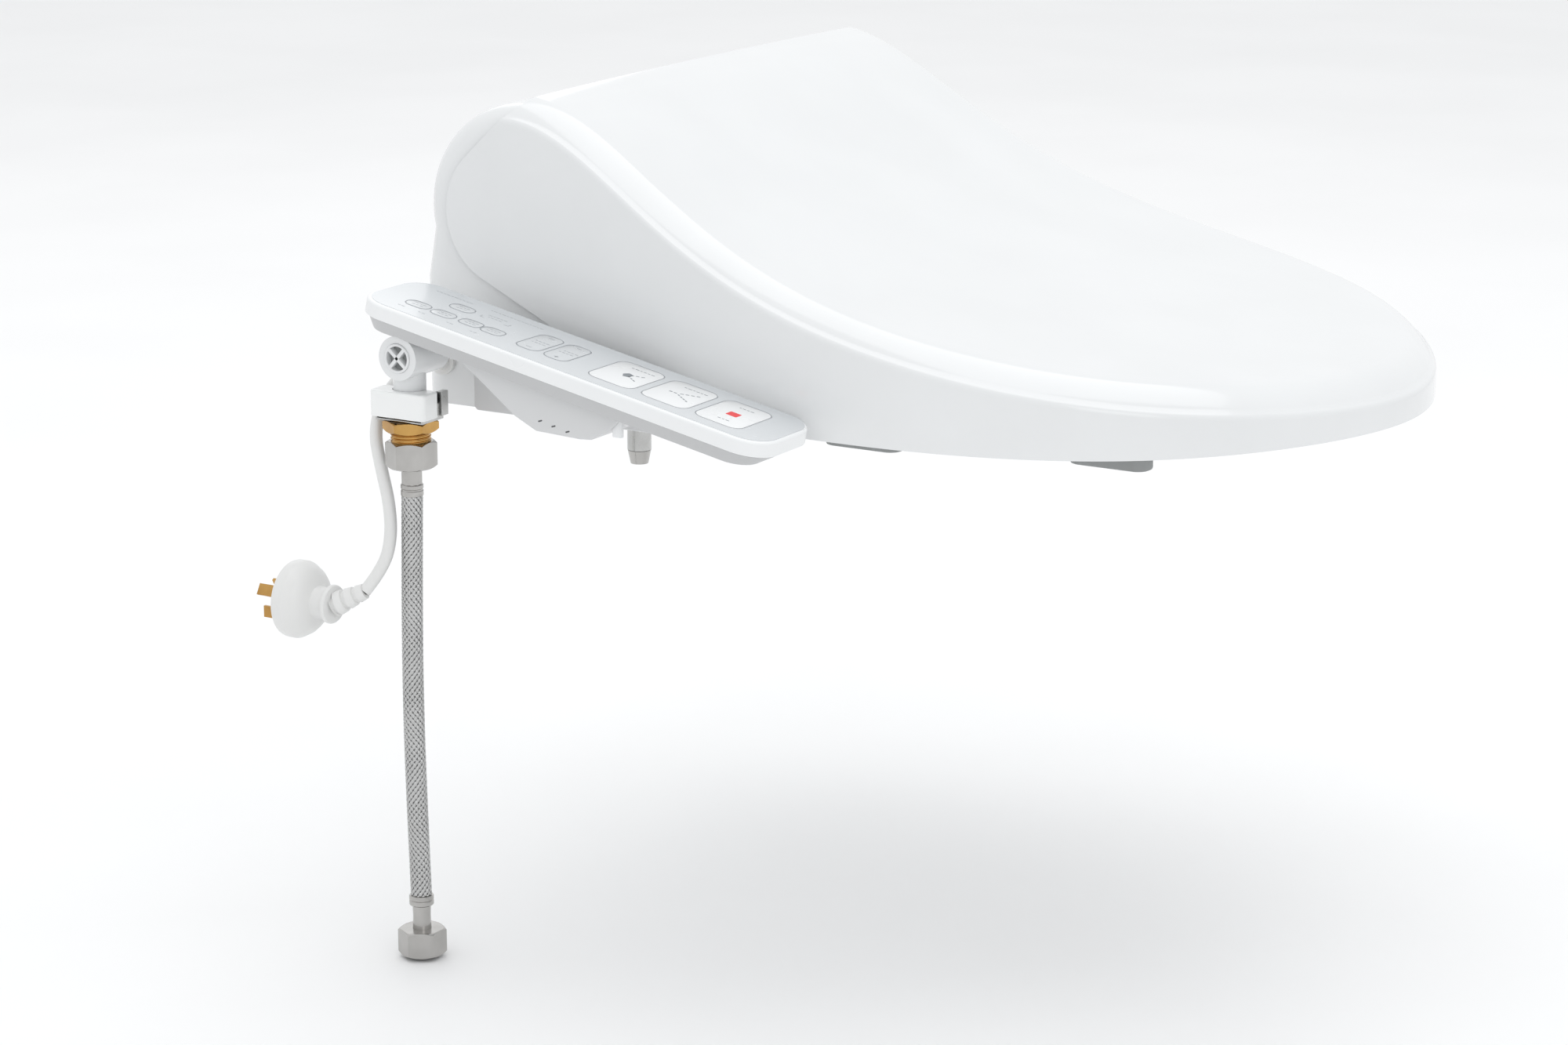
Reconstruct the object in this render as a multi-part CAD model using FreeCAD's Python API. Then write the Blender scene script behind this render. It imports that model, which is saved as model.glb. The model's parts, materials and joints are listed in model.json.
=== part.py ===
"""Electric bidet seat: lid, seat ring, rear casing, side control panel and water connection.

Frame: millimetres, +Z up. The origin is midway between the two bowl bolts, on the plane of the
bowl's rim. The front of the seat points to -Y, and the control panel is on the -X side.
"""
import FreeCAD
import Part
import math
import os

V = FreeCAD.Vector
os.makedirs("parts", exist_ok=True)

# ---------------------------------------------------------------- driving dimensions
HINGE_Y, HINGE_Z = 12.0, 107.0          # common hinge axis of lid and seat, along X
PIN_R = 5.0                             # hinge pin
RUN_GAP = 0.08                          # radial clearance of a running fit

LID_HALF_REAR, LID_HALF = 186.0, 200.5  # lid half width at the hinge and at its widest
LID_TIP = -427.0                        # front of the lid
LID_BOTTOM = 11.0                       # lower edge of the lid's apron
LID_WALL = 2.4
LID_CROWN = 3.0                         # rise of the middle over the sides
LID_ROUND = 15.0                        # rounding between top and apron
EAR_R = 39.5                            # round ear of the lid about the hinge
LID_SLOPE = math.radians(26.0)          # slope of the lid's lower side edge

CASE_HALF = 183.0                       # half width of tray and rear casing
CASE_REAR, CASE_FRONT = 73.0, -88.0
TRAY_TOP = 46.0
DRUM_R = 57.5                           # casing top, round about the hinge
CASE_WALL = 3.0
CASE_ROUND = 16.0
CHEEK_X = 148.5                         # the hollow middle of the casing ends here
SLOT_X0, SLOT_X1 = 151.5, 174.5         # slots for the seat's arms
HUB_POCKET_R = 15.5                     # pocket for the lid's hinge boss

SEAT_INSET = 7.5
SEAT_REAR = -92.0
SEAT_BOTTOM, SEAT_SPLIT = 14.0, 24.0
SEAT_TOP_REAR, SEAT_TOP_FRONT = 47.0, 33.5
HOLE_Y0, HOLE_Y1, HOLE_HALF = -122.0, -352.0, 104.0

PANEL_CX, PANEL_CY, PANEL_CZ = -233.0, -66.09, 46.12   # middle of the panel's top face
PANEL_TILT = 11.9                       # degrees, front end low
PANEL_W, PANEL_L = 58.0, 252.0
PANEL_BAND, PANEL_THICK = 8.0, 17.0     # white band, whole thickness
PANEL_CORNER = 17.0
KEY_GAP, KEY_PROUD = 0.3, 0.7           # round each key, and above the panel's face

PLATE_X, PLATE_Y, PLATE_Z = 190.0, 62.0, 4.0
BOLT_SPACING = 155.0
SLEEVE_R, SLEEVE_LEN = 6.75, 40.0       # expansion sleeve moulded on each bolt, below the rim
SLOT_R, SLOT_REACH = 7.2, 12.0          # slots in the mounting plate: half width and half travel

NOZZLE_Y0, NOZZLE_Z0 = -86.0, 0.0       # where the nozzle axes leave the casing
NOZZLE_TILT = 27.0
NOZZLE_R, NOZZLE_LEN, NOZZLE_X = 6.5, 128.0, 11.0
GEAR_MODULE, GEAR_TEETH = 0.8, 18

FAN = (96.0, 8.0, 56.0)                 # middle of the dryer's fan, which turns about X
FAN_BLADES = 14
BOARD_Y = 58.0                          # front face of the control board

PIPE_X, PIPE_Y, ELBOW_Z = -240.0, 39.0, 39.0   # vertical axis of the water connection
CAP_R = 11.8                            # elbow's round cap, which faces -X
THREAD_PITCH = 1.81                     # half-inch pipe thread
HOSE_R = 5.8
HOSE_TOP, HOSE_BOTTOM = -37.0, -260.0
CORD_R = 3.4

# route of the power cord, from the casing's relief to the plug's relief
CORD_ROUTE = [(-195, 57.5, 24), (-214.5, 58.3, 24), (-232.5, 60.5, 14), (-242, 61.5, -4),
              (-242.5, 57, -24), (-243.5, 51.5, -42), (-246, 48.8, -60), (-250.5, 51, -76),
              (-257, 59, -88.5)]
# route of the supply hose, which hangs almost straight
HOSE_ROUTE = [(PIPE_X, PIPE_Y, HOSE_TOP), (PIPE_X - 0.6, PIPE_Y + 1.2, -92.0),
              (PIPE_X - 0.8, PIPE_Y + 1.9, -148.5), (PIPE_X - 0.6, PIPE_Y + 1.2, -205.0),
              (PIPE_X, PIPE_Y, HOSE_BOTTOM)]

X_AXIS, Y_AXIS, Z_AXIS = V(1, 0, 0), V(0, 1, 0), V(0, 0, 1)
ORIGIN = V(0, 0, 0)


# ---------------------------------------------------------------- helpers
def box(x0, x1, y0, y1, z0, z1):
    return Part.makeBox(x1 - x0, y1 - y0, z1 - z0, V(x0, y0, z0))


def cyl(x, y, z, r, h, axis=Z_AXIS):
    return Part.makeCylinder(r, h, V(x, y, z), axis)


def tube(x, y, z, r_out, r_in, h, axis=Z_AXIS):
    return cyl(x, y, z, r_out, h, axis).cut(cyl(x, y, z, r_in, h, axis))


def fuse(*shapes):
    shapes = list(shapes)
    whole = shapes[0].multiFuse(shapes[1:]) if len(shapes) > 1 else shapes[0]
    return whole.removeSplitter()


def rounded_block(x0, x1, y0, y1, z0, z1, r, r_top=0.0):
    """A block with its upright edges rounded by r and its top edges by r_top."""
    block = box(x0, x1, y0, y1, z0, z1)
    upright = [e for e in block.Edges if abs(e.Length - (z1 - z0)) < 1e-6
               and abs(e.tangentAt(e.FirstParameter).z) > 0.99]
    block = block.makeFillet(r, upright)
    if r_top:
        top = [e for e in block.Edges if e.BoundBox.ZMin > z1 - 1e-4]
        block = block.makeFillet(r_top, top)
    return block


def side_prism(points, x0, x1):
    """A prism between two X planes, from (y, z) points."""
    corners = [V(x0, y, z) for y, z in points]
    return Part.Face(Part.makePolygon(corners + corners[:1])).extrude(V(x1 - x0, 0, 0))


def hex_nut(x, y, z0, z1, across_flats, rise=1.2):
    """A hexagonal prism along Z whose corners are chamfered by cones, as on a turned nut."""
    corner_r = across_flats / 2 / math.cos(math.pi / 6)
    turns = [i * math.pi / 3 for i in range(7)]
    corners = [V(x + corner_r * math.cos(a), y + corner_r * math.sin(a), z0) for a in turns]
    prism = Part.Face(Part.makePolygon(corners)).extrude(V(0, 0, z1 - z0))
    face_r = across_flats / 2 * 0.98
    wide_r = face_r + 4 * rise
    low = Part.makeCone(face_r, wide_r, 2.4 * rise, V(x, y, z0))
    middle = cyl(x, y, z0 + 2.4 * rise, wide_r, z1 - z0 - 4.8 * rise)
    high = Part.makeCone(wide_r, face_r, 2.4 * rise, V(x, y, z1 - 2.4 * rise))
    return prism.common(fuse(low, middle, high))


def mirrored(shape):
    return shape.mirror(ORIGIN, X_AXIS)


def both_sides(shape):
    return Part.Compound([shape, mirrored(shape)])


def save(name, shape):
    solids = shape.Solids
    assert solids and all(s.isValid() for s in solids), name
    shape = solids[0] if len(solids) == 1 else Part.Compound(solids)
    shape.exportStep(f"parts/{name}.step")
    box_ = shape.BoundBox
    print(f"{name:24s} {len(solids):2d} solids  {shape.Volume / 1000:9.2f} cm3  "
          f"x {box_.XMin:.0f}..{box_.XMax:.0f}  y {box_.YMin:.0f}..{box_.YMax:.0f}  "
          f"z {box_.ZMin:.0f}..{box_.ZMax:.0f}")


# ---------------------------------------------------------------- lid
def half_outline(inset):
    """Right half of the lid's outline, as a curve from the rear to the tip."""
    points = [V(LID_HALF_REAR, 0, 0), V(194, -95, 0), V(LID_HALF, -195, 0), V(192, -272, 0),
              V(162, -340, 0), V(88, -403, 0), V(0, LID_TIP, 0)]
    curve = Part.BSplineCurve()
    curve.interpolate(Points=points, InitialTangent=V(0, -1, 0), FinalTangent=V(-1, 0, 0))
    if not inset:
        return curve
    steps = 12
    moved = []
    for i in range(steps + 1):
        u = curve.FirstParameter + (curve.LastParameter - curve.FirstParameter) * i / steps
        t = curve.tangent(u)[0]
        moved.append(curve.value(u) + V(t.y, -t.x, 0) * inset)
    inner = Part.BSplineCurve()
    inner.interpolate(Points=moved, InitialTangent=V(0, -1, 0), FinalTangent=V(-1, 0, 0))
    return inner


def plan_prism(inset, y_rear, z0, z1):
    """Upright prism of the lid's outline, closed by a straight edge at y_rear."""
    right = half_outline(inset).toShape()
    rear = right.valueAt(right.FirstParameter)
    left = right.mirror(ORIGIN, X_AXIS)
    a, b = V(rear.x, y_rear, 0), V(-rear.x, y_rear, 0)
    edges = [Part.makeLine(a, rear)] if y_rear > rear.y else []
    edges += [right, left]
    if y_rear > rear.y:
        edges.append(Part.makeLine(V(-rear.x, rear.y, 0), b))
    edges.append(Part.makeLine(b, a))
    wire = Part.Wire(Part.__sortEdges__(edges))
    face = Part.Face(wire)
    face.translate(V(0, 0, z0))
    return face.extrude(V(0, 0, z1 - z0))


def ramp(t, width):
    """A slope of one that starts smoothly about zero."""
    return width * math.log1p(math.exp(t / width))


def lid_height(y):
    """Height of the lid's top along its middle, which is gentle in front and steep further back."""
    return 96.4 + 0.142 * y + 1.486 * ramp(y + 48.7, 61.1) - 2.502 * ramp(y - 15.3, 28.6)


def below_top(drop):
    """Everything under the lid's crowned top surface, lowered by drop."""
    rows = []
    for y in range(80, -481, -28):
        row = []
        for x in range(-230, 231, 46):
            row.append(V(x, y, lid_height(y) - LID_CROWN * (x / LID_HALF) ** 2 - drop))
        rows.append(row)
    surface = Part.BSplineSurface()
    surface.interpolate(rows)
    return surface.toShape().extrude(V(0, 0, -260))


def lid_side_region(x0, x1):
    """What the lid keeps in side view: a round ear on the hinge and everything in front of it."""
    up = math.radians(46.3)
    top = (HINGE_Y + EAR_R * math.cos(up), HINGE_Z + EAR_R * math.sin(up))
    low = (HINGE_Y + EAR_R * math.sin(LID_SLOPE), HINGE_Z - EAR_R * math.cos(LID_SLOPE))
    reach = 190.0
    points = [(HINGE_Y, HINGE_Z), top, (top[0] - 80 * math.sin(up), top[1] + 80 * math.cos(up)),
              (-470, 230), (-470, -40),
              (low[0] - reach * math.cos(LID_SLOPE), low[1] - reach * math.sin(LID_SLOPE)), low]
    return fuse(side_prism(points, x0, x1), cyl(x0, HINGE_Y, HINGE_Z, EAR_R, x1 - x0, X_AXIS))


def lid_body(inset, drop, y_rear, bottom, rounding):
    """Solid under the lid's top surface and inside its outline, with the top edge rounded."""
    body = plan_prism(inset, y_rear, bottom, 240).common(below_top(drop))
    rim = []
    for edge in body.Edges:
        span = edge.BoundBox
        along_side = span.YLength > 100 and span.XLength > 100
        along_rear = span.ZMin > 130 and 40 < span.YLength < 100 and span.XLength < 1
        if span.ZMin > 25 and (along_side or along_rear):
            rim.append(edge)
    return body.makeFillet(rounding, rim)


def make_lid():
    outer = lid_body(0, 0, 66, LID_BOTTOM, LID_ROUND)
    inner = lid_body(LID_WALL, LID_WALL + 0.8, 80, -20, LID_ROUND - LID_WALL)
    shell = outer.cut(inner).common(lid_side_region(-230, 230))
    boss = cyl(CASE_HALF - 5, HINGE_Y, HINGE_Z, HUB_POCKET_R - 1.5, LID_HALF_REAR - CASE_HALF + 4, X_AXIS)
    pocket = cyl(CASE_HALF - 6, HINGE_Y, HINGE_Z, PIN_R + RUN_GAP, 6.5, X_AXIS)
    shell = fuse(shell, boss, mirrored(boss))
    return shell.cut(pocket).cut(mirrored(pocket))


# ---------------------------------------------------------------- casing
def casing_profile(inset):
    """Side outline (y, z) of tray and casing together as a face at X = 0."""
    r = DRUM_R - inset
    rear = CASE_REAR - inset
    start, middle, end = [V(0, HINGE_Y + r * math.cos(a), HINGE_Z + r * math.sin(a))
                          for a in map(math.radians, (-12, 90, 160))]
    slope = math.tan(math.radians(70))
    foot_y = end.y - (end.z - TRAY_TOP) / slope
    floor = inset
    corners = [V(0, foot_y, TRAY_TOP), V(0, CASE_FRONT + inset, 28), V(0, CASE_FRONT + inset, floor),
               V(0, rear, floor), V(0, rear, 68)]
    edges = [Part.Arc(start, middle, end).toShape(), Part.makeLine(end, corners[0])]
    edges += [Part.makeLine(a, b) for a, b in zip(corners, corners[1:])]
    edges.append(Part.makeLine(corners[-1], start))
    return Part.Face(Part.Wire(edges))


def casing_body(inset, half):
    face = casing_profile(inset)
    face.translate(V(-half, 0, 0))
    return face.extrude(V(2 * half, 0, 0))


def arm_slots():
    """The space in which the seat's two arms swing, from rest to upright, with 3 mm to spare."""
    front = CASE_FRONT - 20
    points = [(front, -6), (CASE_FRONT - 4, 7), (HINGE_Y, HINGE_Z - 25), (HINGE_Y + 17, HINGE_Z - 10),
              (HINGE_Y + 17, HINGE_Z + 8.5), (HINGE_Y - 49, HINGE_Z + 110.5), (front, HINGE_Z + 110.5)]
    slot = fuse(side_prism(points, SLOT_X0, SLOT_X1),
                cyl(SLOT_X0, HINGE_Y, HINGE_Z, 21, SLOT_X1 - SLOT_X0, X_AXIS))
    return fuse(slot, mirrored(slot))


def make_case():
    """Tray and rear casing, cut from one round-edged body at the tray's top."""
    outer = casing_body(0, CASE_HALF)
    edges = [e for e in outer.Edges if e.BoundBox.XLength < 1e-3
             and (e.BoundBox.YMin > 20 or e.BoundBox.ZMin > TRAY_TOP - 1)]
    outer = outer.makeFillet(CASE_ROUND, edges)
    inner = casing_body(CASE_WALL, CHEEK_X)
    body = outer.cut(inner).cut(arm_slots())
    hub = cyl(CASE_HALF - 6.5, HINGE_Y, HINGE_Z, HUB_POCKET_R, 8, X_AXIS)
    pin = cyl(CHEEK_X - 1, HINGE_Y, HINGE_Z, PIN_R, 40, X_AXIS)
    body = body.cut(fuse(hub, pin)).cut(mirrored(fuse(hub, pin)))
    low = box(-200, 200, -120, 120, -20, TRAY_TOP)
    return body.common(low), body.cut(low)


def make_tray(low):
    recess_top = 11.5
    recess = box(-PLATE_X / 2 - 2, PLATE_X / 2 + 2, -34, 36, -1, recess_top)
    ceiling = box(-PLATE_X / 2 - 5, PLATE_X / 2 + 5, -37, 39, 0, recess_top + 2.5)
    tray = fuse(low, ceiling).cut(recess)
    nozzle_way = box(-25, 25, CASE_FRONT - 1, -56, -1, 14)
    dryer_way = box(60, 100, CASE_FRONT - 1, CASE_FRONT + 4, 6, 20)
    elbow_way = cyl(-CASE_HALF - 1, PIPE_Y - 1, ELBOW_Z, 6.2, 45, X_AXIS)
    relief_seat = (-CASE_HALF - 1, CORD_ROUTE[0][1], CORD_ROUTE[0][2])
    cord_way = fuse(cyl(*relief_seat, 4.0, 45, X_AXIS), cyl(*relief_seat, 7.2, 10.5, X_AXIS))
    return tray.cut(fuse(nozzle_way, dryer_way)).cut(elbow_way).cut(cord_way)


def seat_ring(inset, z0, drop=0.0):
    """The seat's ring in plan, from z0 up to its sloping top lowered by drop, with its hole."""
    body = plan_prism(SEAT_INSET + inset, 10, z0, 90)
    rear = SEAT_REAR - inset
    wedge = side_prism([(rear, z0), (rear, seat_height(rear) - drop),
                        (LID_TIP, seat_height(LID_TIP) - drop), (LID_TIP, z0)], -230, 230)
    middle = (HOLE_Y0 + HOLE_Y1) / 2
    half_length = (HOLE_Y0 - HOLE_Y1) / 2 + inset
    hole = Part.Ellipse(V(0, middle, z0), half_length, HOLE_HALF + inset).toShape()
    hole = Part.Face(Part.Wire([hole]))
    hole.rotate(V(0, middle, 0), Z_AXIS, 90)
    return body.common(wedge).cut(hole.extrude(V(0, 0, 90)))


def seat_height(y):
    """Height of the seat's top at y."""
    return SEAT_TOP_FRONT + (y - LID_TIP) * (SEAT_TOP_REAR - SEAT_TOP_FRONT) / (SEAT_REAR - LID_TIP)


def make_seat():
    """Hollow upper and lower seat shells and the heating foil; the lower shell carries the arms."""
    top = seat_ring(0, SEAT_SPLIT)
    rim = [e for e in top.Edges if e.BoundBox.ZMin > SEAT_SPLIT + 8]
    top = top.makeFillet(6.0, rim)
    top = top.cut(seat_ring(3.0, SEAT_SPLIT - 1, 3.0))
    low_part = box(-230, 230, -460, 40, SEAT_BOTTOM, SEAT_SPLIT)
    bottom = seat_ring(0, SEAT_BOTTOM).common(low_part).cut(seat_ring(3.0, SEAT_BOTTOM + 3))
    foil = seat_ring(12.0, SEAT_SPLIT, 3.1).cut(seat_ring(11.0, SEAT_SPLIT - 1, 3.8))
    half = (SLOT_X1 - SLOT_X0) / 2 - 1.5
    mid = (SLOT_X0 + SLOT_X1) / 2
    arm = fuse(cyl(mid - half, HINGE_Y, HINGE_Z, 16, 2 * half, X_AXIS),
               side_prism([(4, 121), (SEAT_REAR + 0.01, SEAT_SPLIT + 22), (SEAT_REAR + 0.01, SEAT_BOTTOM),
                           (-84, 19), (18, 92.5)], mid - half, mid + half))
    arm = arm.cut(cyl(mid - 20, HINGE_Y, HINGE_Z, PIN_R + RUN_GAP, 40, X_AXIS))
    foot = box(mid - half, mid + half, SEAT_REAR - 2.5, SEAT_REAR + 1, SEAT_BOTTOM, SEAT_SPLIT)
    arm = fuse(arm, foot)
    return top, fuse(bottom, arm, mirrored(arm)), foil


# ---------------------------------------------------------------- control panel
def on_panel(shape):
    """Moves a shape from the panel's own frame (Y along, Z out of its face) to its place."""
    shape = shape.copy()
    shape.rotate(ORIGIN, X_AXIS, PANEL_TILT)
    shape.translate(V(PANEL_CX, PANEL_CY, PANEL_CZ))
    return shape


def rounded_plate(x, y, w, length, z0, z1, r):
    return rounded_block(x - w / 2, x + w / 2, y - length / 2, y + length / 2, z0, z1, r)


# name: centre x, centre y, width, length, corner radius, in the panel's frame
KEYS = {
    "key_dryer": (-9.0, 98.9, 10.0, 15.0, 4.9),
    "key_massage": (7.9, 82.6, 10.0, 15.0, 4.9),
    "key_power_saving": (-9.2, 82.6, 10.0, 15.0, 4.9),
    "key_water_temp": (-7.9, 65.9, 10.0, 13.6, 4.0),
    "key_seat_temp": (-7.9, 51.9, 10.0, 13.6, 4.0),
    "key_nozzle_position": (0.0, 27.6, 30.0, 15.0, 5.5),
    "key_water_strength": (0.0, 10.3, 30.0, 15.0, 5.5),
    "key_feminine": (0.0, -26.5, 38.0, 28.5, 6.5),
    "key_posterior": (0.0, -59.0, 38.0, 28.5, 6.5),
    "key_stop": (0.0, -91.6, 38.0, 28.5, 6.5),
}


def make_panel():
    """Upper shell, lower shell, circuit board and keys of the side control panel."""
    w, length, r = PANEL_W, PANEL_L, PANEL_CORNER
    outer = rounded_plate(0, 0, w, length, -PANEL_BAND, 0, r)
    edge = [e for e in outer.Edges if e.BoundBox.ZMin > -1e-4]
    outer = outer.makeFillet(1.6, edge)
    hollow = rounded_plate(0, 0, w - 4.4, length - 4.4, -PANEL_BAND - 1, -2.4, r - 2.2)
    upper = outer.cut(hollow)
    keys, domes = {}, []
    for name, (x, y, kw, kl, kr) in KEYS.items():
        opening = rounded_plate(x, y, kw + 2 * KEY_GAP, kl + 2 * KEY_GAP, -4, 2, kr + KEY_GAP)
        upper = upper.cut(opening)
        cap = rounded_plate(x, y, kw, kl, -1.8, KEY_PROUD, kr)
        stem = rounded_plate(x, y, 4.0, 4.0, -4.6, -1.7, 1.0)
        keys[name] = on_panel(fuse(cap, stem))
        domes.append(rounded_plate(x, y, 5.0, 5.0, -6.8, -5.3, 1.0))
    lower_outer = Part.makeLoft([plate_wire(w - 3.0, length - 3.0, r - 1.5, -PANEL_BAND),
                                 plate_wire(w - 16.0, length - 15.0, r - 4.0, -PANEL_THICK, 4.5)], True)
    floor = -PANEL_THICK + 2.5
    lower_inner = rounded_plate(0, 0, w - 20.0, length - 30.0, floor, -PANEL_BAND + 1, r - 6.0)
    posts = [rounded_plate(0, y, 6.0, 6.0, floor, -8.4, 1.0) for y in (-92.0, -32.0, 40.0, 98.0)]
    lower = on_panel(fuse(lower_outer.cut(lower_inner), *posts))
    elbow_room = cyl(PANEL_CX - PANEL_W, PIPE_Y - 1, ELBOW_Z, CAP_R + 0.4, 2 * PANEL_W, X_AXIS)
    board = fuse(rounded_plate(0, 0, 36.0, 210.0, -8.4, -6.8, 2.0), *domes)
    return on_panel(upper), lower.cut(elbow_room), on_panel(board), keys


def plate_wire(w, length, r, z, y_middle=0.0):
    """Outline of a rounded rectangle at height z."""
    x, y = w / 2, length / 2
    c = r * (1 - math.sqrt(0.5))
    edges = [
        Part.makeLine(V(-x + r, -y, z), V(x - r, -y, z)),
        Part.Arc(V(x - r, -y, z), V(x - c, -y + c, z), V(x, -y + r, z)).toShape(),
        Part.makeLine(V(x, -y + r, z), V(x, y - r, z)),
        Part.Arc(V(x, y - r, z), V(x - c, y - c, z), V(x - r, y, z)).toShape(),
        Part.makeLine(V(x - r, y, z), V(-x + r, y, z)),
        Part.Arc(V(-x + r, y, z), V(-x + c, y - c, z), V(-x, y - r, z)).toShape(),
        Part.makeLine(V(-x, y - r, z), V(-x, -y + r, z)),
        Part.Arc(V(-x, -y + r, z), V(-x + c, -y + c, z), V(-x + r, -y, z)).toShape(),
    ]
    wire = Part.Wire(edges)
    wire.translate(V(0, y_middle, 0))
    return wire


def panel_underside(y):
    """Height of the panel's flat underside at y."""
    t = math.radians(PANEL_TILT)
    return PANEL_CZ - PANEL_THICK / math.cos(t) + (y - PANEL_CY) * math.tan(t)


def make_bracket():
    """Arm from the tray's side wall to the panel's underside, below the lid's side edge."""
    under_lid = [(-97, 5.0), (-90, 4.6), (20, 4.6), (22, 6.4), (22, 34), (2, 34),
                 (2, panel_underside(2)), (-20, panel_underside(-20)), (-60, 24.0), (-97, 6.5)]
    under_panel = [(-97, panel_underside(-97)), (-88.6, 13.7), (-77, 7.2), (-70, 6.7), (-43, 8.0),
                   (-30, 14.4), (10, panel_underside(10))]
    return fuse(side_prism(under_lid, -206, -CASE_HALF), side_prism(under_panel, -244, -206))


# ---------------------------------------------------------------- nozzles
def on_nozzle_line(shape):
    """Moves a shape from the nozzle's own frame (origin at the outlet, -Y forward) to its place."""
    shape = shape.copy()
    shape.rotate(ORIGIN, X_AXIS, NOZZLE_TILT)
    shape.translate(V(0, NOZZLE_Y0, NOZZLE_Z0))
    return shape


RACK_TOP = NOZZLE_R + 2.4               # pitch line of the rack, above the nozzle's axis
PITCH_R = GEAR_MODULE * GEAR_TEETH / 2
PINION_Y = 34.0                         # behind the outlet, along the nozzle


def rack_teeth(x0, x1, y0, y1):
    """Straight-flanked rack along Y; a tooth space is centred on PINION_Y."""
    pitch = math.pi * GEAR_MODULE
    half, tan = pitch / 4 - 0.06, math.tan(math.radians(20))
    add, ded = 0.75 * GEAR_MODULE, 1.1 * GEAR_MODULE
    points = [(y0, NOZZLE_R - 1.0), (y0, RACK_TOP - ded)]
    count = int((PINION_Y - y0) / pitch)
    y = PINION_Y - (count - 0.5) * pitch
    while y < y1 - pitch:
        points += [(y - half - ded * tan, RACK_TOP - ded), (y - half + add * tan, RACK_TOP + add),
                   (y + half - add * tan, RACK_TOP + add), (y + half + ded * tan, RACK_TOP - ded)]
        y += pitch
    points += [(y1, RACK_TOP - ded), (y1, NOZZLE_R - 1.0)]
    return side_prism(points, x0, x1)


def involute_gear(x0, x1, y, z):
    """Spur gear with its axis along X; one tooth points down at the rack."""
    base = PITCH_R * math.cos(math.radians(20))
    tip, root = PITCH_R + 0.75 * GEAR_MODULE, PITCH_R - 1.1 * GEAR_MODULE
    inv = math.tan(math.radians(20)) - math.radians(20)
    half_tooth = math.pi / 2 / GEAR_TEETH - 0.06 / PITCH_R
    points = []
    for k in range(GEAR_TEETH):
        middle = -math.pi / 2 + 2 * math.pi * k / GEAR_TEETH
        flank = []
        for i in range(5):
            r = base + (tip - base) * i / 4
            a = math.acos(min(1.0, base / r))
            flank.append((r, half_tooth + inv - (math.tan(a) - a)))
        flank = [(root, flank[0][1] + 0.02)] + flank
        for r, a in flank:
            points.append((y + r * math.cos(middle - a), z + r * math.sin(middle - a)))
        for r, a in reversed(flank):
            points.append((y + r * math.cos(middle + a), z + r * math.sin(middle + a)))
    return side_prism(points, x0, x1)


def make_nozzle(x):
    back = NOZZLE_LEN - 2.0
    body = cyl(x, -2.0, 0, NOZZLE_R, NOZZLE_LEN, Y_AXIS)
    tip = Part.makeSphere(NOZZLE_R, V(x, -2.0, 0))
    flat = box(x - 8, x + 8, -12, 16, 4.6, 10)
    jets = [cyl(x + dx, dy, 2, 0.6, 6) for dx, dy in ((-1.6, 2), (1.6, 2), (0, 4.8))]
    body = fuse(body, tip, rack_teeth(x - 1.6, x + 1.6, 18.0, back))
    body = body.cut(flat)
    for jet in jets:
        body = body.cut(jet)
    return on_nozzle_line(body)


def make_cradle():
    """Block with two bores for the nozzles and open grooves for their racks."""
    y0, y1 = 8.0, NOZZLE_LEN - 12.0
    block = rounded_block(-22.5, 22.5, y0, y1, -9, RACK_TOP - 1.0, 3.0)
    window = box(-24.5, 24.5, PINION_Y - 10, PINION_Y + 10, RACK_TOP - 3.2, RACK_TOP + 3)
    for x in (-NOZZLE_X, NOZZLE_X):
        block = block.cut(cyl(x, y0 - 1, 0, NOZZLE_R + 0.25, y1 - y0 + 2, Y_AXIS))
        block = block.cut(box(x - 2.0, x + 2.0, y0 - 1, y1 + 1, 2, RACK_TOP + 3))
    return on_nozzle_line(block.cut(window))


def make_drive(x):
    """Pinion over the rack, and the stepper motor beside it."""
    z = RACK_TOP + PITCH_R
    outward = V(1 if x > 0 else -1, 0, 0)

    def round_piece(start, r, length):
        """A cylinder on the pinion's axis, which begins start away from the gear's middle."""
        return Part.makeCylinder(r, length, V(x, PINION_Y, z) + outward * start, outward)

    pinion = fuse(involute_gear(x - 2.5, x + 2.5, PINION_Y, z), round_piece(2.4, 1.5, 14.6))
    ear_a, ear_b = sorted((x + outward.x * 14.0, x + outward.x * 15.2))
    ears = box(ear_a, ear_b, PINION_Y - 17.5, PINION_Y + 17.5, z - 4, z + 4)
    motor = fuse(round_piece(14.0, 12.0, 18.0), ears).cut(round_piece(13.0, 1.5 + RUN_GAP, 5.0))
    return on_nozzle_line(pinion), on_nozzle_line(motor)


# ---------------------------------------------------------------- cords
def route_wire(points):
    """Straight runs joined by tangent arcs. The radius is 0.45 of the shorter run over tan(half turn)."""
    points = [V(*p) for p in points]
    edges, radii, start = [], [], points[0]
    for before, at, after in zip(points, points[1:], points[2:]):
        a, b = (at - before), (after - at)
        short = min(a.Length, b.Length)
        a.normalize()
        b.normalize()
        turn = a.getAngle(b)
        cut_back = 0.45 * short
        radii.append(cut_back / math.tan(turn / 2))
        p, q = at - a * cut_back, at + b * cut_back
        inward = (b - a)
        inward.normalize()
        centre_gap = radii[-1] / math.cos(turn / 2)
        middle = at + inward * (centre_gap - radii[-1])
        edges += [Part.LineSegment(start, p).toShape(), Part.Arc(p, middle, q).toShape()]
        start = q
    edges.append(Part.LineSegment(start, points[-1]).toShape())
    return Part.Wire(edges), radii


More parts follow.
